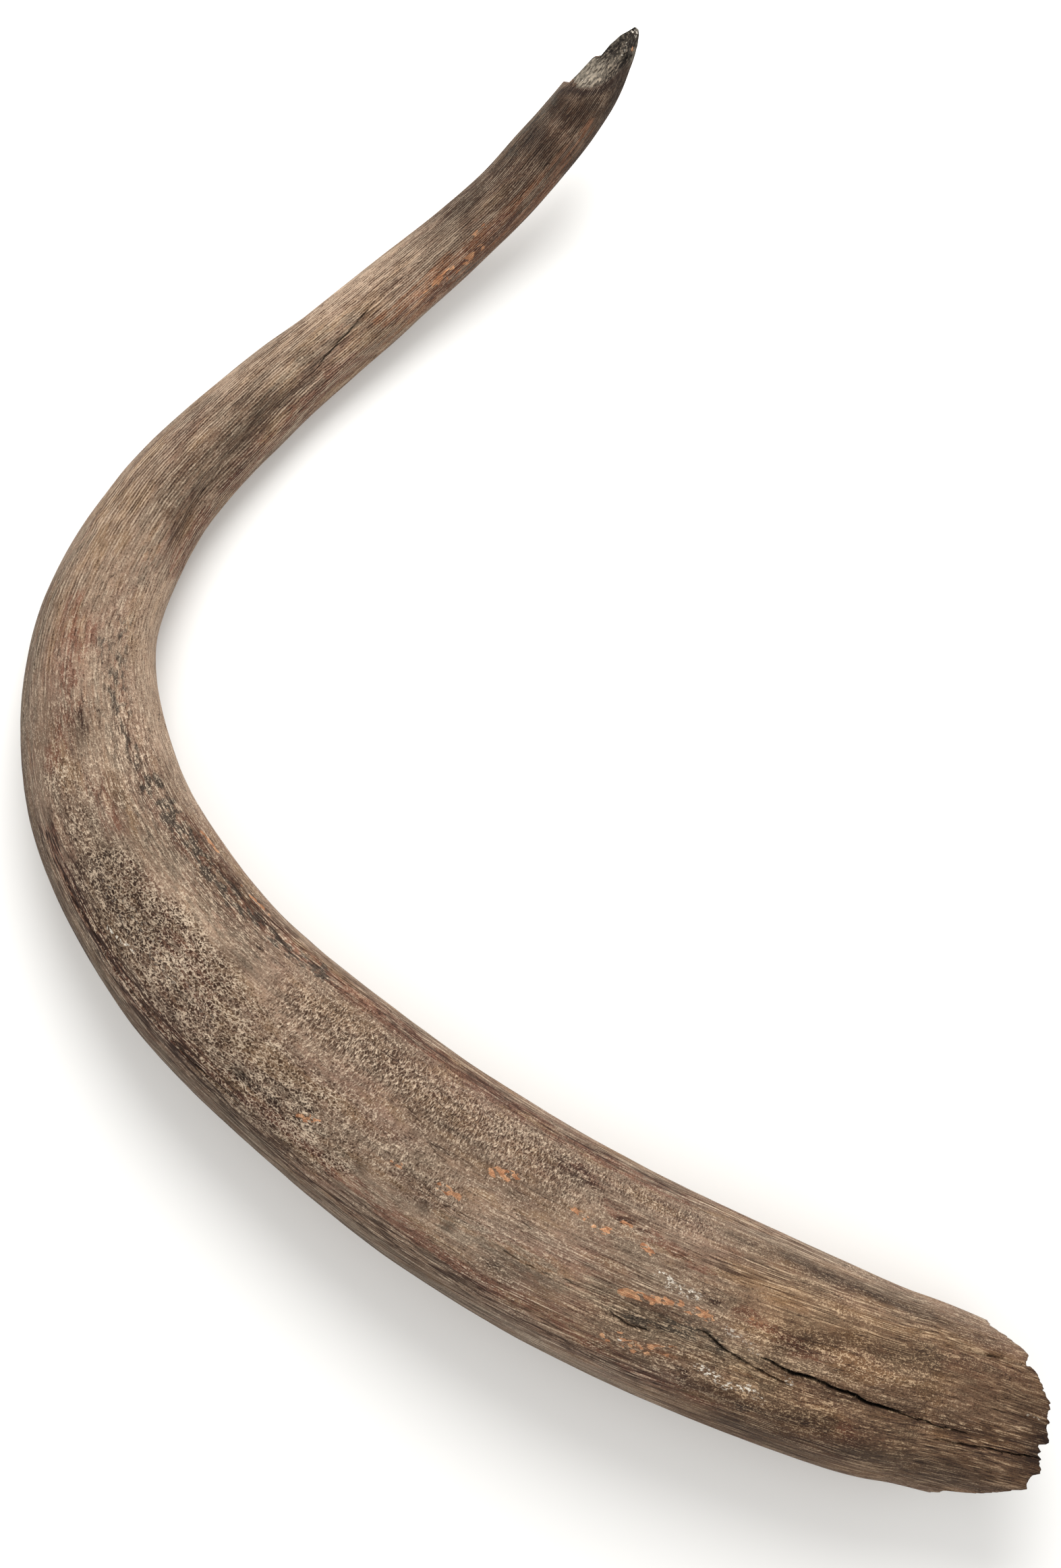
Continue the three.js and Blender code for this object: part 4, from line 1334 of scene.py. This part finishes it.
chip = node("TexVoronoi", {"Vector": sized(crumpled, 4.4, 2.5), "Scale": 1.0}, "Color")
chip_kind = node("SeparateColor", {"Color": chip}, "Red")
chip_tone = node("SeparateColor", {"Color": chip}, "Green")
chip_light = spread(height, 0.1, 0.9, 0.6, 1.2)
chip_colour = tinted(1.0, tinted(chip_tone, OCHRE, BUFF), chip_light, "MULTIPLY")
chipped = product(larger(product(chip_kind, CHIP_GAIN), CHIP_FLOOR), mask["ochre"])
colour = tinted(spread(chipped, 0.5, 0.64, 0.0, 0.9), colour, chip_colour)
specks = spread(pattern(3.0, 1.9, 3.0), 0.46, 0.62)
specks = spread(product(specks, mask["chalk"]), 0.25, 0.6, 0.0, 0.85)
colour = tinted(specks, colour, CHALK)
# painted shade: near black inside the cracks and pits, darker where they are deeper
colour = tinted(mask["crack"], colour, CRACK_SHADE)
print("nodes so far:", len(tree.nodes))

# %% Bump, roughness and the shader
BUMP_HEIGHT = 0.0017  # metres
DIRT_ROUGHNESS, RUBBED_ROUGHNESS = 0.88, 0.66
IVORY_IOR, DULLED_SPECULAR = 1.54, 0.2

bump = node("Bump", {"Height": height, "Distance": BUMP_HEIGHT, "Strength": 1.0})
roughness = spread(height, 0.0, 1.0, DIRT_ROUGHNESS, RUBBED_ROUGHNESS)
shader = node("BsdfPrincipled", {
    "Base Color": colour,
    "Roughness": roughness,
    "Specular IOR Level": DULLED_SPECULAR,
    "IOR": IVORY_IOR,
    "Normal": bump,
})
output = tree.nodes.new("ShaderNodeOutputMaterial")
tree.links.new(shader, output.inputs["Surface"])
tusk.data.materials.append(material)
print("material nodes:", len(tree.nodes))

# %% [markdown]
# ## Floor, light and camera
# The tusk lies on its side on a pale floor. One large soft lamp hangs beyond its tip end, so the
# shadow falls towards the root end, and a pale world brightens it. Lamps on more sides would fill
# the small shadows that show the relief. The camera looks straight down from 2.7 metres with a long
# lens.

# %% Floor
FLOOR_REACH, FLOOR_GAP = 6.0, 0.0005  # the gap keeps the floor clear of the flat resting places
PAPER_ROUGHNESS = 0.9

floor_mesh = bpy.data.meshes.new("floor")
corners = [(x * FLOOR_REACH, y * FLOOR_REACH, 0) for x, y in ((-1, -1), (1, -1), (1, 1), (-1, 1))]
floor_mesh.from_pydata(corners, [], [(0, 1, 2, 3)])
floor = bpy.data.objects.new("floor", floor_mesh)
floor.location.z = -FLOOR_GAP
bpy.context.scene.collection.objects.link(floor)
paper = bpy.data.materials.new("pale_studio_paper")
paper.use_nodes = True
paper_shader = paper.node_tree.nodes["Principled BSDF"]
paper_shader.inputs["Base Color"].default_value = linear("f4f3f0")
paper_shader.inputs["Roughness"].default_value = PAPER_ROUGHNESS
floor_mesh.materials.append(paper)
print("floor", 2 * FLOOR_REACH, "m wide")

# %% Light
ROOM_STRENGTH = 0.9
LAMP_PLACE, LAMP_WIDTH, LAMP_WATTS = (0.1, 1.9, 2.2), 1.8, 74
LAMP_AIM = (0, 0, 0.05)

world = bpy.data.worlds.new("pale_room")
world.use_nodes = True
background = world.node_tree.nodes["Background"]
background.inputs["Color"].default_value = linear("ffffff")
background.inputs["Strength"].default_value = ROOM_STRENGTH
bpy.context.scene.world = world
lamp = bpy.data.lights.new("key", "AREA")
lamp.shape, lamp.size, lamp.energy = "DISK", LAMP_WIDTH, LAMP_WATTS
holder = bpy.data.objects.new("key", lamp)
holder.location = LAMP_PLACE
direction = np.array(LAMP_PLACE) - np.array(LAMP_AIM)
tilt = math.acos(direction[2] / np.linalg.norm(direction))
holder.rotation_euler = (tilt, 0, math.atan2(direction[1], direction[0]) + math.pi / 2)
bpy.context.scene.collection.objects.link(holder)
print(f"lamp {np.linalg.norm(direction):.1f} m away, tilted {math.degrees(tilt):.0f} degrees")

# %% Camera
LENS, SENSOR = 85, 36
FRAME_HEIGHT = 1.16  # metres from top to bottom of what the camera sees
TARGET_HEIGHT = 0.075
CENTRING = (-0.0005, -0.0129)  # metres beside the origin
DISTANCE = FRAME_HEIGHT * LENS / SENSOR

camera_data = bpy.data.cameras.new("from_above")
camera_data.lens = LENS
camera_data.sensor_fit = "VERTICAL"
camera_data.sensor_height = SENSOR
camera = bpy.data.objects.new("from_above", camera_data)
camera.location = (*CENTRING, TARGET_HEIGHT + DISTANCE)
bpy.context.scene.collection.objects.link(camera)
bpy.context.scene.camera = camera
bpy.context.scene.view_settings.view_transform = "Standard"
print(f"camera {DISTANCE:.2f} m over the tusk's middle height")
